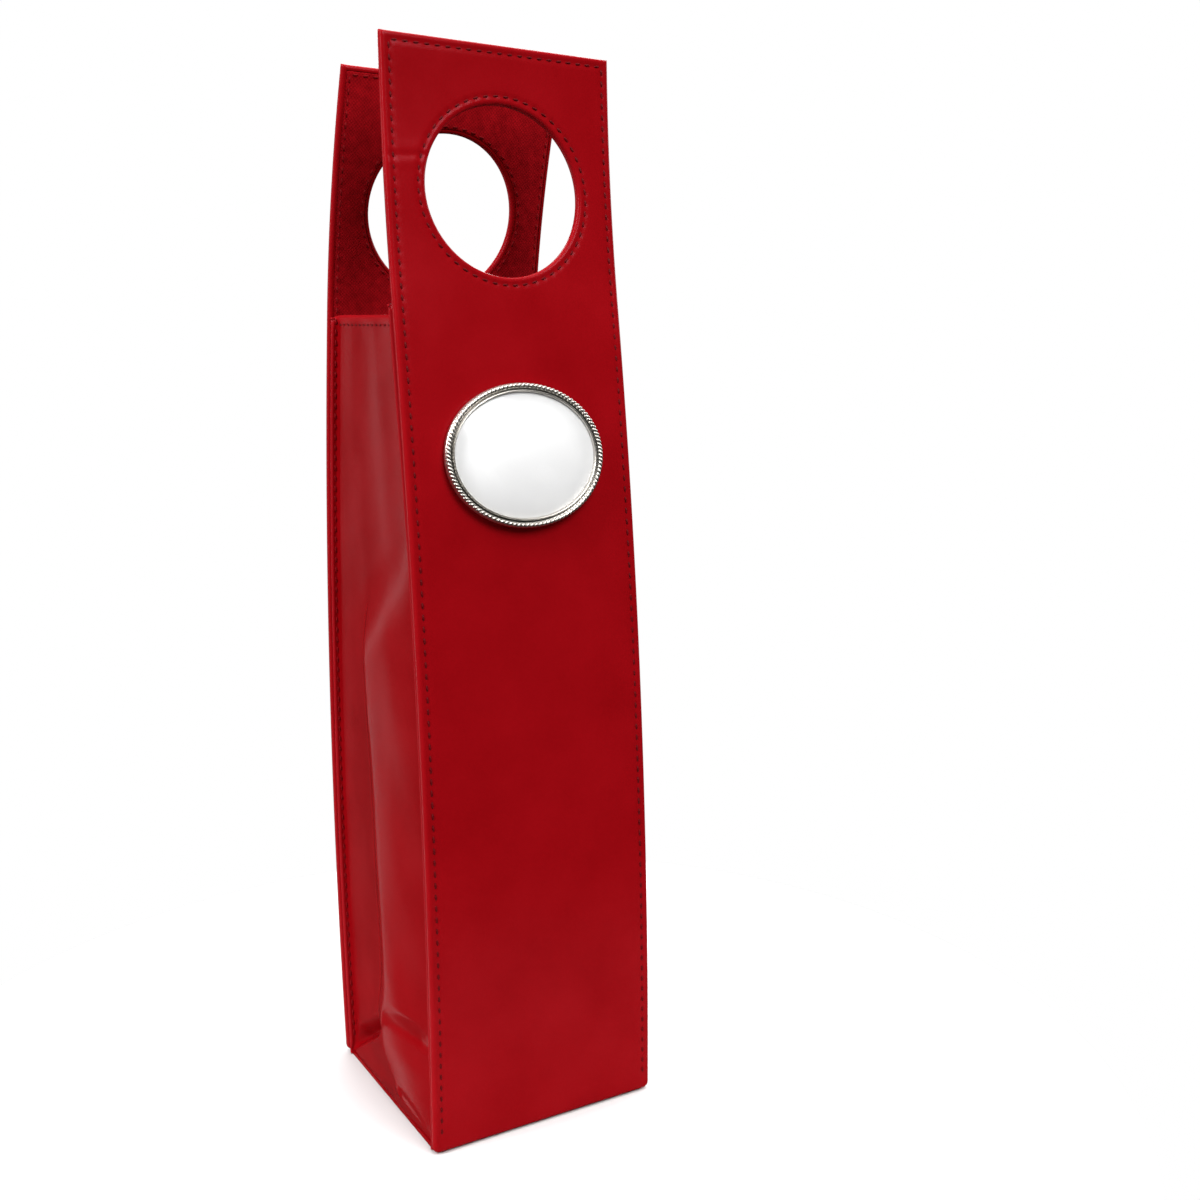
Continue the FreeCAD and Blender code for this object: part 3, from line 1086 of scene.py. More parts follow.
        # Paints a paler sheen round the turned edges, strongest halfway round each edge.
        edge_sheen = bm.verts.layers.float.new("edge_sheen")
        for vertex in bm.verts:
            vertex[edge_sheen] = self.painted_edge_sheen * bump_at(vertex.co.z - PANEL_THICKNESS / 2.0, self.sheen_reach)
            vertex.co.xy = self.rounded(vertex.co.x, vertex.co.y)
        self.bend_mesh(bm, lambda co: co.z + (self.relief(co.x, co.y) if co.z < TOUCH else 0.0))
        face_towards(bm, self.out)
        word = self.side.word
        skin = make_piece(bm, f"{word}_skin", COVER, Slot.LEATHERETTE)
        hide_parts(f"{word}_panel_skin", f"{word}_handle_skin")
        self.join(skin)
        thicken(skin, SKIN)
        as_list(self.boards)

    def build_lining(self) -> None:
        """Makes the lining on the panel's inner face, cut a little inside the turned edge."""
        inset = self.lip + self.lining_gap
        half = HALF_WIDTH - inset
        strip = HoledStrip(half, self.lining_foot, TOP_RUN - inset, HOLE_RADIUS + inset,
                           self.lining_edge, self.lining_edge, columns=40, row=2.0 * MM)
        bm = strip.lay_out()
        self.bend_mesh(bm, lambda co: PANEL_THICKNESS - co.z + self.nap * noise.noise(co / self.nap_size))
        face_towards(bm, -self.out)
        word = self.side.word
        lining = make_piece(bm, f"{word}_lining", LINING, Slot.LINING)
        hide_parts(f"{word}_panel_lining", f"{word}_handle_lining")
        self.join(lining)
        thicken(lining, self.lining)
        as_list(self.boards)

    def build_stitches(self, inside: bool) -> None:
        """Sews the rows of stitches on one face of the panel.

        Args:
            inside: True for the lining's side, False for the outer face.
        """
        bm = bmesh.new()
        flange_top = self.curve.run_at_height(GUSSET_TOP)
        for seam in SEAMS:
            for x, run, heading in seam.spots():
                depth = self.groove
                if inside:
                    on_flange = isinstance(seam, SideSeam) and run < flange_top
                    flange = GussetHalf.flange_depth if on_flange else 0.0
                    depth = PANEL_THICKNESS + flange + self.stitch_clear
                    x = math.copysign(HALF_WIDTH - FLANGE_STITCH, x) if on_flange else x
                STITCH.sew(bm, (x, run, depth), heading, 1.0 if inside else -1.0)
        self.bend_mesh(bm, lambda co: co.z)
        bmesh.ops.recalc_face_normals(bm, faces=bm.faces[:])
        face = "inner" if inside else "outer"
        thread = LINING_THREAD if inside else THREAD
        stitches = make_piece(bm, f"{self.side.word}_{face}_stitches", thread, Slot.LEATHERETTE)
        self.join(stitches)

    def build(self) -> None:
        """Makes every piece of the panel and dresses its boards."""
        self.build_skin()
        self.build_lining()
        self.build_stitches(inside=False)
        self.build_stitches(inside=True)
        for board in self.boards:
            dress_board(board)


@dataclass(frozen=True)
class Stitch:
    """One stitch: a short thread whose ends dive into the cloth."""

    half_length: float = 1.35 * MM
    half_width: float = 0.42 * MM
    flatness: float = 0.75
    lift: float = 0.07 * MM
    dive: float = 0.34 * MM
    slant: float = math.radians(5.0)

    @functools.cache
    def stamp(self) -> Stamp:
        """The thread's shape, made once."""
        return Stamp(sides=6, rings=5)

    def sew(self, bm: BMesh, spot: Point, heading: float, out: float) -> None:
        """Adds the stitch to a mesh laid out as (x, run, depth).

        Args:
            bm: the mesh that takes it.
            spot: its place on the cloth.
            heading: the way it points in the (x, run) plane, in radians.
            out: the sign of depth that points away from the cloth.
        """
        along = Vector((math.cos(heading + self.slant), math.sin(heading + self.slant)))
        across = Vector((-along.y, along.x))

        def move(unit: Vector) -> Point:
            """Lays a point of the unit shape along the thread."""
            flat = along * (unit.z * self.half_length) + across * (unit.x * self.half_width)
            height = unit.y * self.half_width * self.flatness + self.lift - self.dive * unit.z * unit.z
            return spot[0] + flat.x, spot[1] + flat.y, spot[2] + out * height

        self.stamp().press(bm, move)


STITCH = Stitch()


def trace(stations: Stations, place: float) -> float:
    """Reads a value off a smooth line through stations.

    Args:
        stations: pairs of place and value, in order of place.
        place: where the line is read, held at its ends.

    Returns:
        The value there.
    """
    last = len(stations) - 1
    place = min(max(place, stations[0][0]), stations[last][0])
    index = next(i for i in range(last) if place <= stations[i + 1][0])

    def steepness(i: int) -> float:
        """The line's slope at a station, from its neighbours."""
        before, after = stations[max(i - 1, 0)], stations[min(i + 1, last)]
        return (after[1] - before[1]) / (after[0] - before[0])

    (start, low), (end, high) = stations[index], stations[index + 1]
    span = end - start
    t = (place - start) / span
    rise = t * t * (3.0 - 2.0 * t)
    lead = span * t * (1.0 - t) * ((1.0 - t) * steepness(index) - t * steepness(index + 1))
    return low + (high - low) * rise + lead


def pinned(share: float, steepness: float) -> float:
    """1 across a wall, falling to 0 at both of its corners."""
    return min(1.0, steepness * share, steepness * (1.0 - share))


def ease(share: float) -> float:
    """A soft step from 0 to 1."""
    held = min(1.0, max(0.0, share))
    return held * held * (3.0 - 2.0 * held)


@dataclass(frozen=True)
class GussetFold:
    """The folds pressed into a gusset: a crest down its middle and an envelope fold at its foot.

    A place on the wall is a share from the front corner, 0, to the back corner, 1, and a height. Every size
    here is in millimetres, because the folds are read off lines through a few stations.
    """

    depth: float = 1.0
    drop: float = 0.0
    seed: float = 1.0
    crest_share: Stations = ((34.0, 0.47), (46.0, 0.44), (104.0, 0.46), (155.0, 0.51), (200.0, 0.53))
    crest_out: Stations = ((30.0, 4.8), (36.0, 4.5), (46.0, 4.0), (57.0, 3.8), (114.0, 4.0), (171.0, 4.4))
    back_slope: Stations = ((0.0, 1.0), (0.04, 0.91), (0.2, 0.42), (0.6, 0.16), (1.0, 0.0))
    flap_top: Stations = ((0.0, 34.0), (0.3, 33.0), (0.45, 30.5), (0.56, 23.5), (0.85, 10.5), (1.0, 3.5))
    keel_share: Stations = ((0.0, 0.35), (11.0, 0.36), (16.0, 0.43), (22.0, 0.47), (32.0, 0.46))
    keel_out: Stations = ((0.0, 1.9), (11.0, 3.1), (22.0, 4.2), (32.0, 4.0))
    front_hem: Stations = ((24.0, 1.0), (34.0, 0.0))
    back_hem: Stations = ((2.0, 1.0), (12.0, 0.0))
    sole_line: Stations = ((0.0, 3.0), (0.14, 6.5), (0.34, 9.0), (0.6, 5.0), (1.0, 2.0))
    front_round: float = 1.5
    back_round: float = 0.6
    sole_turn: float = 1.0
    sole_round: float = 1.5
    sole_crease: float = 0.35
    crease_reach: float = 1.8
    crease_rise: float = 6.0
    wall_width: float = 75.0
    wrinkle: float = 0.6
    wrinkle_place: tuple[float, float] = (0.34, 9.0)
    wrinkle_reach: float = 3.0
    bow: float = 1.28
    foot_bow: float = 0.8
    bow_top: float = 60.0
    bow_length: float = 25.0
    tuck_pin: float = 9.0
    front_tuck: float = 1.9
    front_tuck_reach: float = 9.0
    back_tuck: float = 6.0
    back_tuck_reach: float = 8.0
    back_lead: float = 0.3
    swell: float = 1.6
    swell_rise: float = 4.0
    swell_reach: float = 18.0
    wave: float = 0.4
    wave_pin: float = 4.0
    wave_rise: float = 20.0
    wave_length: float = 38.0
    waves_across: float = 3.0
    seed_step: float = 7.0
    lip: float = 3.4
    fade_top: float = 222.0
    fade_slant: float = 42.0
    fade_length: float = 34.0

    def flap(self, share: float, level: float) -> float:
        """The envelope fold below its upper edge, with a keel between its two facets.

        Args:
            share: the place across the wall.
            level: the height above the floor.

        Returns:
            How far the fold stands out.
        """
        middle = trace(self.keel_share, level)
        front = share < middle
        side = trace(self.front_hem if front else self.back_hem, level)
        inner = share / middle if front else (1.0 - share) / (1.0 - middle)
        rise = 1.0 - (1.0 - inner) ** self.front_round if front else inner ** self.back_round
        form = side + (trace(self.keel_out, level) - side) * rise
        line = trace(self.sole_line, share)
        if level < line:
            form -= self.sole_turn * (1.0 - level / line) ** self.sole_round
        if front:
            crease = self.sole_crease * bump_at(level - line, self.crease_reach)
            form -= crease * min(1.0, self.crease_rise * share)
        place, height = self.wrinkle_place
        away = math.hypot(self.wall_width * (share - place), level - height)
        return form + self.wrinkle * bump_at(away, self.wrinkle_reach)

    def above(self, share: float, level: float, over: float) -> float:
        """The crest and its two slopes, tucked in behind the envelope fold.

        Args:
            share: the place across the wall.
            level: the height above the floor.
            over: the height above the envelope fold's upper edge.

        Returns:
            How far the wall stands out.
        """
        middle = trace(self.crest_share, level)
        crest = trace(self.crest_out, level)
        held = pinned(share, self.tuck_pin)
        if share < middle:
            front = share / middle
            bow = self.bow + self.foot_bow * ease((self.bow_top - level) / self.bow_length)
            tuck = self.front_tuck * bump_at(over, self.front_tuck_reach) * held
            form = crest * (1.0 - (1.0 - front) ** bow) - tuck * (1.0 - front ** 4)
        else:
            back = (share - middle) / (1.0 - middle)
            swell = self.swell * (1.0 - back ** 4) * bump_at(over - self.swell_rise, self.swell_reach)
            tuck = self.back_tuck * bump_at(over, self.back_tuck_reach) * held
            form = crest * trace(self.back_slope, back) + (swell - tuck) * ease(back / self.back_lead)
        top = self.fade_top - self.fade_slant * share - self.drop
        return form * ease((top - level) / self.fade_length)

    def out(self, share: float, height: float) -> float:
        """How far the wall stands out.

        Args:
            share: the place across the wall.
            height: the height above the floor, in metres.

        Returns:
            The distance beyond the flat wall, in metres.
        """
        level = height / MM
        over = level - trace(self.flap_top, share)
        lip = ease(over / self.lip + 0.5)
        over = max(0.0, over)
        form = self.flap(share, level) * (1.0 - lip) + self.above(share, level, over) * lip
        held = pinned(share, self.wave_pin) * min(1.0, over / self.wave_rise)
        place = Vector((self.waves_across * share, level / self.wave_length, self.seed_step * self.seed))
        return (self.depth * form + self.wave * held * noise.noise(place)) * MM


class Strip(Enum):
    """The strips of a gusset, from the turned edge of its flange to its wall."""

    BEAD = 1
    FLANGE = 2
    CORNER = 3
    WALL = 4


Step = tuple[Strip, float]


@dataclass
class GussetHalf:
    """Half a side gusset: a flange sewn inside a panel, the folded wall up to its middle, and the hem."""

    hand: Hand
    side: Side
    fold: GussetFold
    wall: float = 41.7 * MM
    flange_tip: float = 44.0 * MM
    corner: float = 0.8 * MM
    cloth: float = 0.7 * MM
    lining: float = 0.6 * MM
    lining_depth: float = 1.9 * MM
    lining_foot: float = 1.6 * MM
    lining_short: float = 0.5 * MM
    foot: float = 0.4 * MM
    top: float = GUSSET_TOP - 1.0 * MM
    hem_slant: float = 3.4 * MM
    tip_rise: float = 2.7 * MM
    tip_round: float = 1.6 * MM
    tip_least: float = 0.35
    squeeze: float = 0.65
    hem_radius: float = 1.0 * MM
    hem_angles: tuple[float, ...] = (20.0, 60.0, 100.0, 140.0, 180.0)
    hem_tuck: float = 4.0 * MM
    hem_tuck_rows: int = 2
    hem_puff: float = 0.35 * MM
    hem_puff_reach: float = 2.0 * MM
    hem_stitch: float = 2.6 * MM
    # Painted sheen along the turned hem and over the flange's rounded edge.
    hem_sheen: float = 0.35
    hem_sheen_reach: float = 1.2 * MM
    bead_sheen: float = 0.5
    corner_share: float = 0.3
    flange_share: float = 0.15
    fold_top: float = 48.0 * MM
    flap_rows: int = 26
    tuck_rows: int = 36
    row: float = 2.4 * MM
    wall_columns: int = 44
    corner_columns: int = 4
    bead_angles: tuple[float, ...] = (-85.0, -55.0, -25.0, 0.0, 25.0, 55.0)
    bead = 0.9 * MM
    flange_depth = 2.0 * bead + 0.1 * MM
    flush: float = 1.0 * MM
    splay: float = 2.4 * MM
    splay_foot: float = 190.0 * MM
    still_band: tuple[float, float] = (2.0 * MM, 9.0 * MM)
    follow_band: tuple[float, float] = (-15.0 * MM, 31.0 * MM)

    def root(self, height: float) -> float:
        """How far the wall's root stands beyond the flat wall beside the flange."""
        return max(0.0, self.fold.out(0.0 if self.side is Side.FRONT else 1.0, height))

    def narrowing(self, height: float) -> float:
        """How open the flange is: 1 along the wall, less where the wall's foot comes out over it."""
        return 1.0 - self.squeeze * min(1.0, self.root(height) / self.flush)

    @property
    def tip_end(self) -> float:
        """The height of the flange's upper end: a finger above the hem in front, level with it behind."""
        return self.top + (self.tip_rise if self.side is Side.FRONT else self.hem_slant / 2.0)

    def bead_radius(self, height: float) -> float:
        """The radius of the flange's turned edge, which closes to a fingertip at its upper end."""
        left = min(1.0, max(0.0, (self.tip_end - height) / self.tip_round))
        finger = max(self.tip_least, math.sqrt(1.0 - (1.0 - left) ** 2))
        return self.bead * finger * (1.0 - self.squeeze * (1.0 - self.narrowing(height)))

    def gap(self, height: float) -> float:
        """How far the front flange's edge has sprung off its panel, most at the top."""
        rise = ease((height - self.splay_foot) / (self.top - self.splay_foot))
        return self.splay * rise if self.side is Side.FRONT else 0.0

    def corner_radius(self, height: float) -> float:
        """The radius between the flange and the wall."""
        return self.corner * self.narrowing(height)

    def flange_face(self, height: float) -> float:
        """Where the flange's visible face stands at a height."""
        depth = self.flange_depth - 2.0 * (self.bead - self.bead_radius(height))
        return CURVES[self.side].y_at(height, PANEL_THICKNESS + depth)

    def corner_y(self, side: Side, height: float) -> float:
        """Where the wall begins beside a flange at a height."""
        open_face = CURVES[side].y_at(height, PANEL_THICKNESS + self.flange_depth)
        return open_face + side.value * self.corner

    def crease_y(self, height: float) -> float:
        """Where the wall's two halves meet at a height."""
        return (self.corner_y(Side.FRONT, height) + self.corner_y(Side.BACK, height)) / 2.0

    def share_at(self, y: float, height: float) -> float:
        """The share of the wall's width at a place, from the front corner to the back one."""
        front = self.corner_y(Side.FRONT, height)
        return (y - front) / (self.corner_y(Side.BACK, height) - front)

    def wall_x(self, y: float, height: float, depth: float) -> float:
        """The wall's x at a place.

        Args:
            y: the place from front to back.
            height: the height above the floor.
            depth: the distance behind the wall's visible face.

        Returns:
            The signed x.
        """
        return self.hand.value * (self.wall + self.fold.out(self.share_at(y, height), height) - depth)

    def hem_height(self, step: Step) -> float:
        """The hem's height at a station: it climbs to the back, and a finger of the flange stands above it.

        Args:
            step: the station across the half.

        Returns:
            The height of the cloth's upper end there.
        """
        strip, amount = step
        wall = self.top - self.side.value * self.hem_slant / 2.0
        if strip is Strip.WALL:
            return wall + self.side.value * amount * self.hem_slant / 2.0
        if strip is Strip.CORNER:
            return wall + (self.tip_end - wall) * (1.0 - math.sin(amount)) ** 2
        return self.tip_end

    def steps(self) -> list[Step]:
        """The stations across the half, from the flange's turned edge to the middle."""
        bead = [(Strip.BEAD, math.radians(a)) for a in self.bead_angles]
        flange = [(Strip.FLANGE, 1.0), (Strip.FLANGE, 0.5)]
        bends = range(self.corner_columns)
        corner = [(Strip.CORNER, math.radians(90.0 * i / self.corner_columns)) for i in bends]
        wall = [(Strip.WALL, i / self.wall_columns) for i in range(self.wall_columns + 1)]
        return bead + flange + corner + wall

    def levels(self, step: Step) -> list[float]:
        """The heights of a column's points, with one row along the envelope fold's upper edge.

        Args:
            step: the station across the half.

        Returns:
            The heights, from the floor to the hem.
        """
        strip, amount = step
        half = amount / 2.0 if strip is Strip.WALL else 0.0
        edge = trace(self.fold.flap_top, half if self.side is Side.FRONT else 1.0 - half) * MM
        wide = round((self.top - self.fold_top) / self.row)
        heights = [self.foot + (edge - self.foot) * i / self.flap_rows for i in range(self.flap_rows)]
        heights += [edge + (self.fold_top - edge) * i / self.tuck_rows for i in range(self.tuck_rows)]
        return heights + [self.fold_top + (self.top - self.fold_top) * i / wide for i in range(wide + 1)]

    def station(self, step: Step, height: float) -> tuple[Vector, Vector]:
        """One point of the gusset's visible face.

        Args:
            step: the station across the half.
            height: the height above the floor.

        Returns:
            The point, and the direction into the cloth there.
        """
        strip, amount = step
        out, inward = self.hand.value, self.side.value
        face = self.flange_face(height)
        edge = self.flange_tip - self.bead_radius(height)
        start = self.corner_y(self.side, height)
        if strip is Strip.WALL:
            y = start + amount * (self.crease_y(height) - start)
            return Vector((self.wall_x(y, height, 0.0), y, height)), Vector((-out, 0.0, 0.0))
        if strip is Strip.BEAD:
            radius = self.bead_radius(height)
            x = edge + radius * math.cos(amount)
            y = face - inward * (radius * (1.0 - math.sin(amount)) - self.gap(height))
            into = Vector((-out * math.cos(amount), -inward * math.sin(amount), 0.0))
            return Vector((out * x, y, height)), into
        root = self.wall + self.root(height)
        round_off = self.corner_radius(height)
        if strip is Strip.FLANGE:
            x = root + round_off + amount * (edge - root - round_off)
            y = face + inward * amount * self.gap(height)
            return Vector((out * x, y, height)), Vector((0.0, -inward, 0.0))
        x = root + round_off * (1.0 - math.sin(amount))
        y = face + (start - face) * (1.0 - math.cos(amount))
        into = Vector((-out * math.sin(amount), -inward * math.cos(amount), 0.0))
        return Vector((out * x, y, height)), into

    def follow(self, piece: Object) -> None:
        """Bakes a piece's placement into its mesh; the piece is not tied to the base or its panel."""
        self.side.panel
        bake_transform(piece)

    def hem_share(self, step: Step) -> float:
        """How much of the hem's turn a station has: all on the wall, little on the flange."""
        strip, amount = step
        if strip is Strip.WALL:
            return 1.0
        if strip is Strip.CORNER:
            return self.corner_share + (1.0 - self.corner_share) * math.sin(amount)
        return self.flange_share

    def hemmed(self, step: Step, height: float, past: int) -> Vector:
        """One point of the cloth, turned in where it lies past the hem.

        Args:
            step: the station across the half.
            height: the height of its row, or of the hem.
            past: how many rows past the hem it lies.

        Returns:
            The point.
        """
        point, into = self.station(step, height)
        share = self.hem_share(step)
        if past <= 0:
            puff = bump_at(self.hem_height(step) - height, self.hem_puff_reach)
            return point - into * self.hem_puff * share * puff
        radius = self.hem_radius * share
        turns = len(self.hem_angles)
        turn = math.radians(self.hem_angles[min(past, turns) - 1])
        tuck = max(0, past - turns) / self.hem_tuck_rows
        point += into * radius * (1.0 - math.cos(turn))
        point.z += radius * math.sin(turn) - tuck * self.hem_tuck * share
        return point

    def build_cloth(self) -> None:
        """Makes the leatherette from the flange to the middle, with its hem turned in at the top."""
        steps = self.steps()
        columns = [self.levels(step) for step in steps]
        last = len(columns[0]) - 1
        bm = bmesh.new()
        edge_sheen = bm.verts.layers.float.new("edge_sheen")
        rows = last + len(self.hem_angles) + self.hem_tuck_rows
        for vertex, column, level in grid_points(bm, len(steps) - 1, rows):
            step = steps[column]
            end = self.hem_height(step)
            height = columns[column][min(level, last)] * end / self.top
            # Paints a paler sheen on the flange's rounded edge and along the top of the hem.
            edge = self.bead_sheen if step[0] is Strip.BEAD else 0.0
            vertex[edge_sheen] = max(edge, self.hem_sheen * bump_at(end - height, self.hem_sheen_reach))
            vertex.co = self.hemmed(step, height, level - last)
        face_towards(bm, Vector((self.hand.value, 0.0, 0.0)))
        half = make_piece(bm, f"{self.hand.word}_gusset_{self.side.word}", COVER, Slot.LEATHERETTE)
        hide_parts(f"{self.hand.word}_gusset")
        self.follow(half)
        thicken(half, self.cloth)
        width = self.half_width + self.flange_tip - self.wall + math.pi * self.bead

    @property
    def half_width(self) -> float:
        """The half wall's width at mid height."""
        middle = self.top / 2.0
        return abs(self.crease_y(middle) - self.corner_y(self.side, middle))

    def build_lining(self) -> None:
        """Makes the lining behind the wall."""
        foot, end = self.lining_foot, self.top - self.hem_slant / 2.0 - self.lining_short
        steps = [step for step in self.steps() if step[0] is Strip.WALL]
        columns = [self.levels(step) for step in steps]
        bm = bmesh.new()
        for vertex, column, level in grid_points(bm, len(steps) - 1, len(columns[0]) - 1):
            height = foot + (end - foot) * columns[column][level] / self.top
            start = self.corner_y(self.side, height)
            y = start + steps[column][1] * (self.crease_y(height) - start)
            vertex.co = (self.wall_x(y, height, self.lining_depth), y, height)
        face_towards(bm, Vector((-self.hand.value, 0.0, 0.0)))
        half = make_piece(bm, f"{self.hand.word}_gusset_lining_{self.side.word}", LINING, Slot.LINING)
        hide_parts(f"{self.hand.word}_gusset_lining")
        self.follow(half)
        thicken(half, self.lining)
        flat = (self.half_width, end - foot)

    def build_hem_stitches(self) -> None:
        """Sews the hem, outside and inside."""
        start = self.corner_y(self.side, self.top)
        reach = abs(self.crease_y(self.top) - start)
        heading = math.atan2(self.hem_slant, 2.0 * reach)
        count = round(reach / STITCH_PITCH)
        bm = bmesh.new()
        for i in range(count):
            along = (i + 0.5) / count
            height = self.hem_height((Strip.WALL, along)) - self.hem_stitch
            y = start + self.side.value * along * reach
            STITCH.sew(bm, (y, height, 0.0), heading, -1.0)
            STITCH.sew(bm, (y, height, 2.0 * self.hem_radius), heading, 1.0)
        for vertex in bm.verts:
            y, run, depth = vertex.co
            vertex.co = (self.wall_x(y, run, depth), y, run)
        bmesh.ops.recalc_face_normals(bm, faces=bm.faces[:])
        stitches = make_piece(bm, f"{self.hand.word}_hem_stitches_{self.side.word}", THREAD, Slot.LEATHERETTE)
        self.follow(stitches)

    def build(self) -> None:
        """Makes the half with its lining and hem."""
        self.build_cloth()
        self.build_lining()
        self.build_hem_stitches()


@dataclass
class BaseTray:
    """The floor of the carrier: a leatherette sole, a greyboard and a lining."""

    cells: int = 24
    sole_width: float = 43.2 * MM
    lining_width: float = 41.8 * MM
    rounding: float = 0.4 * MM
    rim: Stations = ((0.7, 0.25), (0.3, 0.75), (0.0, 1.0))
    clearance: float = 0.1 * MM
    wave: float = 0.10 * MM
    wave_size: float = 14.0 * MM

    def build_plate(self, node: str, half_x: float, half_y: float, finish: Finish, slot: Slot) -> None:
        """Makes one thin sheet of the floor in its node's place.

        Args:
            node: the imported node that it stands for, which also names it.
            half_x: half its width.
            half_y: half its depth.
            finish: what it is made of.
            slot: the record's slot.
        """
        low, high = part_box(node)
        bm = bmesh.new()
        bmesh.ops.create_grid(bm, x_segments=self.cells, y_segments=self.cells, size=1.0)
        bmesh.ops.scale(bm, vec=(half_x - self.rounding, half_y - self.rounding, 1.0), verts=bm.verts[:])
        for vertex in bm.verts:
            vertex.co.z = high.z - self.wave * (0.5 + 0.5 * noise.noise(vertex.co / self.wave_size))
        rim = [e for e in bm.edges if e.is_boundary]
        for grow, drop in self.rim:
            rim, turned = extrude(bm, rim)
            for vertex in turned:
                vertex.co.x += math.copysign(grow * self.rounding, vertex.co.x)
                vertex.co.y += math.copysign(grow * self.rounding, vertex.co.y)
                vertex.co.z = high.z + (low.z - high.z) * drop
        bmesh.ops.holes_fill(bm, edges=rim)
        bmesh.ops.recalc_face_normals(bm, faces=bm.faces[:])
        plate = make_piece(bm, f"{node}_sheet", finish, slot)
        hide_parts(node)
        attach(plate, Body.BASE.value)

    def build(self) -> None:
        """Makes the sole and the lining, and dresses the board between them."""
        sole_depth = PANEL_FOOT_Y - PANEL_THICKNESS - self.clearance
        lining_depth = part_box("base_lining")[1].y
        self.build_plate("base_skin", self.sole_width, sole_depth, COVER, Slot.LEATHERETTE)
        self.build_plate("base_lining", self.lining_width, lining_depth, LINING, Slot.LINING)
        dress_board("base_board")


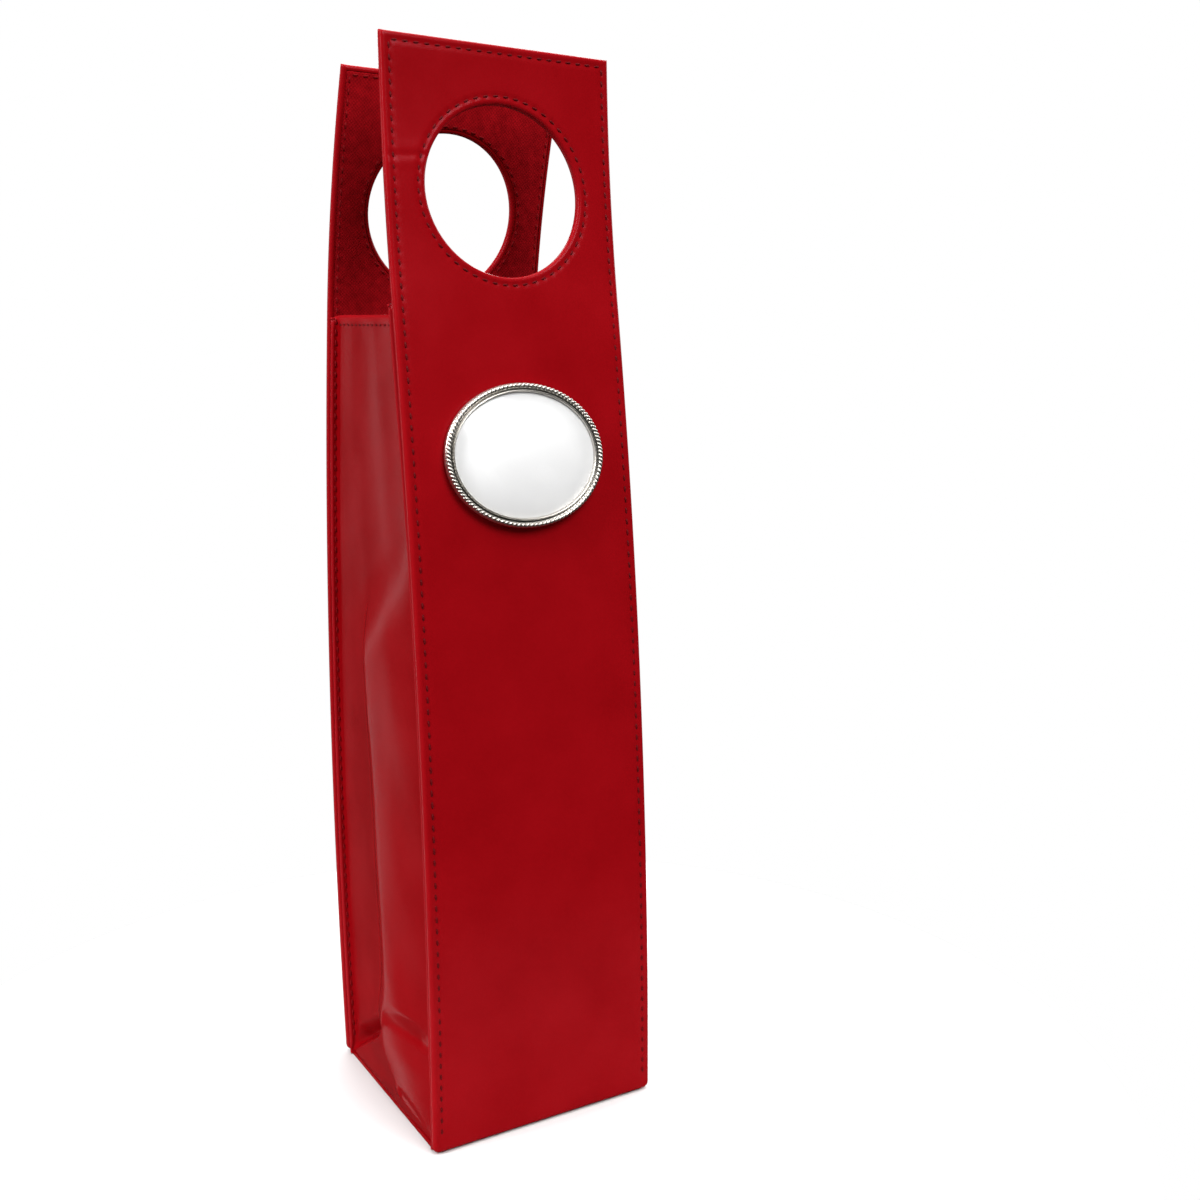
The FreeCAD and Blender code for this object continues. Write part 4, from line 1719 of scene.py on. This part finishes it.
@dataclass
class Medallion:
    """The oval medallion: foam pad, cast bezel with a rope border, white insert and clear dome.

    A profile is a list of pairs, each the inset from the oval's edge and the height above the panel, in
    millimetres.
    """

    half_wide: float = 31.0 * MM
    half_tall: float = 25.5 * MM
    drop: float = 54.0 * MM
    rope: float = 0.95 * MM
    rope_seat: float = 1.0 * MM
    rope_height: float = 3.0 * MM
    lobes: int = 112
    lobe_slant: float = 32.0
    lobe_shape: tuple[float, float, float] = (1.45, 0.72, 1.0)
    segments: int = 144
    # The height of the groove ring that is painted dark as shade, and how close a point must be.
    groove: float = 2.6 * MM
    groove_reach: float = 0.05 * MM
    pad: Stations = ((3.0, 0.05), (2.8, 0.4), (3.0, 0.85))
    bezel: Stations = ((0.35, 0.9), (0.05, 1.1), (0.0, 1.5), (0.0, 2.2), (0.3, 2.8), (1.1, 3.2),
                       (1.9, 3.1), (2.1, 2.6), (2.45, 2.6), (2.6, 3.3), (2.85, 3.55), (3.15, 3.45),
                       (3.3, 3.0), (3.3, 1.7), (20.0, 1.7), (20.0, 0.9))
    card: Stations = ((3.4, 1.75), (3.4, 2.2), (3.6, 2.4))
    dome: Stations = ((3.35, 2.45), (3.35, 2.75), (3.7, 3.05), (5.0, 3.5), (7.0, 3.85), (10.0, 4.1),
                      (14.0, 4.25), (19.0, 4.3), (24.0, 4.32))

    def place(self) -> Matrix:
        """The medallion's own frame: x across, y up the face, z out of it."""
        curve = CURVES[Side.FRONT]
        run = SEAM_LENGTH - self.drop
        lean = curve.lean(run)
        centre = Vector(curve.at(0.0, run, 0.0))
        up = Vector((0.0, math.sin(lean), math.cos(lean)))
        out = Vector((0.0, -math.cos(lean), math.sin(lean)))
        turn = Matrix((Vector((1.0, 0.0, 0.0)), up, out)).transposed()
        return Matrix.Translation(centre) @ turn.to_4x4()

    def loft(self, profile: Section, closed: bool) -> BMesh:
        """Joins ovals into a ring or a filled disc.

        Args:
            profile: the inset and height of each oval, in millimetres.
            closed: True joins the last oval to the first, False fills both.

        Returns:
            The mesh in the medallion's own frame.
        """
        bm = bmesh.new()
        oval = bmesh.ops.create_circle(bm, segments=self.segments, radius=1.0)["verts"]
        start = rim = bm.edges[:]
        last = Vector((1.0, 1.0))
        for index, (inset, height) in enumerate(profile):
            if index:
                rim, oval = extrude(bm, rim)
            size = Vector((self.half_wide - inset * MM, self.half_tall - inset * MM))
            for vertex in oval:
                vertex.co = (vertex.co.x / last.x * size.x, vertex.co.y / last.y * size.y, height * MM)
            last = size
        if closed:
            bmesh.ops.bridge_loops(bm, edges=rim + start)
        else:
            bmesh.ops.holes_fill(bm, edges=rim + start)
        bmesh.ops.recalc_face_normals(bm, faces=bm.faces[:])
        return bm

    def settle(self, bm: BMesh, node: str, finish: Finish, slot: Slot) -> Object:
        """Puts a part of the medallion in its place.

        Args:
            bm: the part in the medallion's own frame.
            node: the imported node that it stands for.
            finish: what it is made of.
            slot: the record's slot.

        Returns:
            The piece.
        """
        bmesh.ops.transform(bm, matrix=self.place(), verts=bm.verts[:])
        piece = make_piece(bm, f"{node}_piece", finish, slot)
        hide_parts(node)
        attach(piece, Body.FRONT_PANEL.value)
        return piece

    def build_bezel(self) -> None:
        """Casts the bezel: a skirt, a seat under the rope, a groove painted dark as shade, and an inner lip.
        """
        bm = self.loft(self.bezel, closed=True)
        # Marks the groove ring for the painted shade in the metal's colour.
        groove_shade = bm.verts.layers.float.new("groove_shade")
        for vertex in bm.verts:
            vertex[groove_shade] = 1.0 if abs(vertex.co.z - self.groove) < self.groove_reach else 0.0
        stamp = Stamp(sides=8, rings=6)
        for index in range(self.lobes):
            place = self.lobe_place(2.0 * math.pi * index / self.lobes)
            stamp.press(bm, lambda unit: place @ unit)
        self.settle(bm, "medallion_cup", METAL, Slot.NICKEL)

    def lobe_place(self, angle: float) -> Matrix:
        """Where one lobe of the rope border lies.

        Args:
            angle: the lobe's place round the oval, in radians.

        Returns:
            The matrix from a unit ball to the lobe.
        """
        way = Vector((math.cos(angle), math.sin(angle)))
        oval = (self.half_wide - self.rope_seat, self.half_tall - self.rope_seat)
        place = Matrix.Translation((way.x * oval[0], way.y * oval[1], self.rope_height))
        heading = math.atan2(way.x * self.half_tall, -way.y * self.half_wide) + math.radians(self.lobe_slant)
        size = Matrix.Diagonal((*(self.rope * share for share in self.lobe_shape), 1.0))
        return place @ Matrix.Rotation(heading, 4, "Z") @ size

    def build(self) -> None:
        """Makes the four parts of the medallion."""
        pad = self.settle(self.loft(self.pad, closed=False), "medallion_pad", FOAM, Slot.FOAM)
        self.build_bezel()
        self.settle(self.loft(self.card, closed=False), "medallion_insert", WHITE_ENAMEL, Slot.INSERT)
        self.settle(self.loft(self.dome, closed=False), "medallion_dome", RESIN, Slot.DOME)


@dataclass(frozen=True)
class SoftLight:
    """One large soft light."""

    name: str
    place: Point
    aim: Point
    size: tuple[float, float]
    power: float

    def build(self) -> None:
        """Hangs the light and points it at its aim."""
        lamp = bpy.data.lights.new(self.name, "AREA")
        lamp.shape = "RECTANGLE"
        lamp.size, lamp.size_y = self.size
        lamp.energy = self.power
        light = bpy.data.objects.new(self.name, lamp)
        light.location = self.place
        light.visible_camera = False
        beam = Vector(self.aim) - Vector(self.place)
        light.rotation_euler = beam.to_track_quat("-Z", "Y").to_euler()
        bpy.context.scene.collection.objects.link(light)


@dataclass
class Studio:
    """The camera at the photograph's angle, a pale floor and soft lights."""

    frame_px: float = 1200.0
    focal_px: float = 1301.8
    centre_px: tuple[float, float] = (562.4, 538.7)
    eye: Point = (-214.54 * MM, -438.47 * MM, 260.0 * MM)
    yaw: float = 29.58
    pitch: float = 5.99
    roll: float = -0.67
    sensor: float = 36.0
    nearest: float = 10.0 * MM
    room: float = 0.06
    backdrop: float = 1.0
    floor_radius: float = 240.0 * MM
    floor_sides: int = 64
    floor_paper: PlainCoat = PlainCoat("pale_floor", (0.70, 0.70, 0.70), (0.72, 0.72, 0.72), 0.4, 0.0, 0.9)
    lights: tuple[SoftLight, ...] = (
        SoftLight("key", (0.10, -1.15, 1.25), (0.0, 0.0, 0.22), (0.8, 0.8), 22.5),
        SoftLight("left_light", (-1.15, -0.10, 1.05), (0.0, 0.0, 0.18), (0.6, 0.9), 22.0),
        SoftLight("streak_box", (-0.468, 0.815, 0.05), (-0.04, 0.0, 0.12), (0.07, 1.2), 0.75),
        SoftLight("back_fill", (0.45, 1.25, 1.00), (0.0, 0.0, 0.18), (0.9, 0.9), 13.0),
        SoftLight("right_fill", (1.25, 0.10, 0.90), (0.0, 0.0, 0.18), (0.9, 0.9), 10.0),
        SoftLight("top_box", (0.1, 0.15, 1.7), (0.0, 0.0, 0.0), (1.6, 1.6), 22.0),
    )

    def build_camera(self) -> None:
        """Sets the camera where the photograph was taken from."""
        yaw, pitch, roll = (math.radians(a) for a in (self.yaw, self.pitch, self.roll))
        ahead = Vector((math.sin(yaw), math.cos(yaw), 0.0))
        right = Vector((math.cos(yaw), -math.sin(yaw), 0.0))
        look = ahead * math.cos(pitch) - Vector((0.0, 0.0, math.sin(pitch)))
        up = ahead * math.sin(pitch) + Vector((0.0, 0.0, math.cos(pitch)))
        rolled_right = right * math.cos(roll) + up * math.sin(roll)
        rolled_up = up * math.cos(roll) - right * math.sin(roll)
        turn = Matrix((rolled_right, rolled_up, -look)).transposed()
        lens = bpy.data.cameras.new("photo_camera")
        lens.sensor_width = self.sensor
        lens.lens = self.focal_px * self.sensor / self.frame_px
        lens.shift_x = 0.5 - self.centre_px[0] / self.frame_px
        lens.shift_y = self.centre_px[1] / self.frame_px - 0.5
        lens.clip_start = self.nearest
        camera = bpy.data.objects.new("photo_camera", lens)
        camera.matrix_world = Matrix.Translation(self.eye) @ turn.to_4x4()
        bpy.context.scene.collection.objects.link(camera)
        bpy.context.scene.camera = camera

    def build_floor(self) -> None:
        """Lays the pale floor."""
        bm = bmesh.new()
        bmesh.ops.create_circle(bm, cap_ends=True, segments=self.floor_sides, radius=self.floor_radius)
        mesh = bpy.data.meshes.new("floor")
        bm.to_mesh(mesh)
        bm.free()
        mesh.materials.append(self.floor_paper.material())
        floor = bpy.data.objects.new("floor", mesh)
        bpy.context.scene.collection.objects.link(floor)
        floor.visible_glossy = False

    def build_world(self) -> None:
        """Makes a dim even room for the light, which shows as a plain white backdrop."""
        world = bpy.data.worlds.new("studio")
        world.use_nodes = True
        bpy.context.scene.world = world
        nodes, links = world.node_tree.nodes, world.node_tree.links
        nodes.clear()
        seen = nodes.new("ShaderNodeLightPath")
        share = nodes.new("ShaderNodeMapRange")
        share.inputs["To Min"].default_value = self.room
        share.inputs["To Max"].default_value = self.backdrop
        light = nodes.new("ShaderNodeBackground")
        light.inputs["Color"].default_value = (1.0, 1.0, 1.0, 1.0)
        output = nodes.new("ShaderNodeOutputWorld")
        links.new(seen.outputs["Is Camera Ray"], share.inputs["Value"])
        links.new(share.outputs["Result"], light.inputs["Strength"])
        links.new(light.outputs[0], output.inputs["Surface"])

    def build(self) -> None:
        """Sets up the camera, the floor and the light."""
        bpy.context.scene.view_settings.view_transform = "Standard"
        self.build_camera()
        self.build_floor()
        self.build_world()
        for light in self.lights:
            light.build()


def main() -> None:
    """Builds the studio and every sub-assembly."""
    logging.basicConfig(level=logging.INFO, format="%(name)s %(message)s")
    Studio().build()
    for side in Side:
        PanelCover(side).build()
    folds = {Hand.LEFT: GussetFold(), Hand.RIGHT: GussetFold(depth=0.85, drop=14.0, seed=2.0)}
    for hand, fold in folds.items():
        for side in Side:
            GussetHalf(hand, side, fold).build()
    BaseTray().build()
    Medallion().build()


if __name__ == "__main__":
    main()
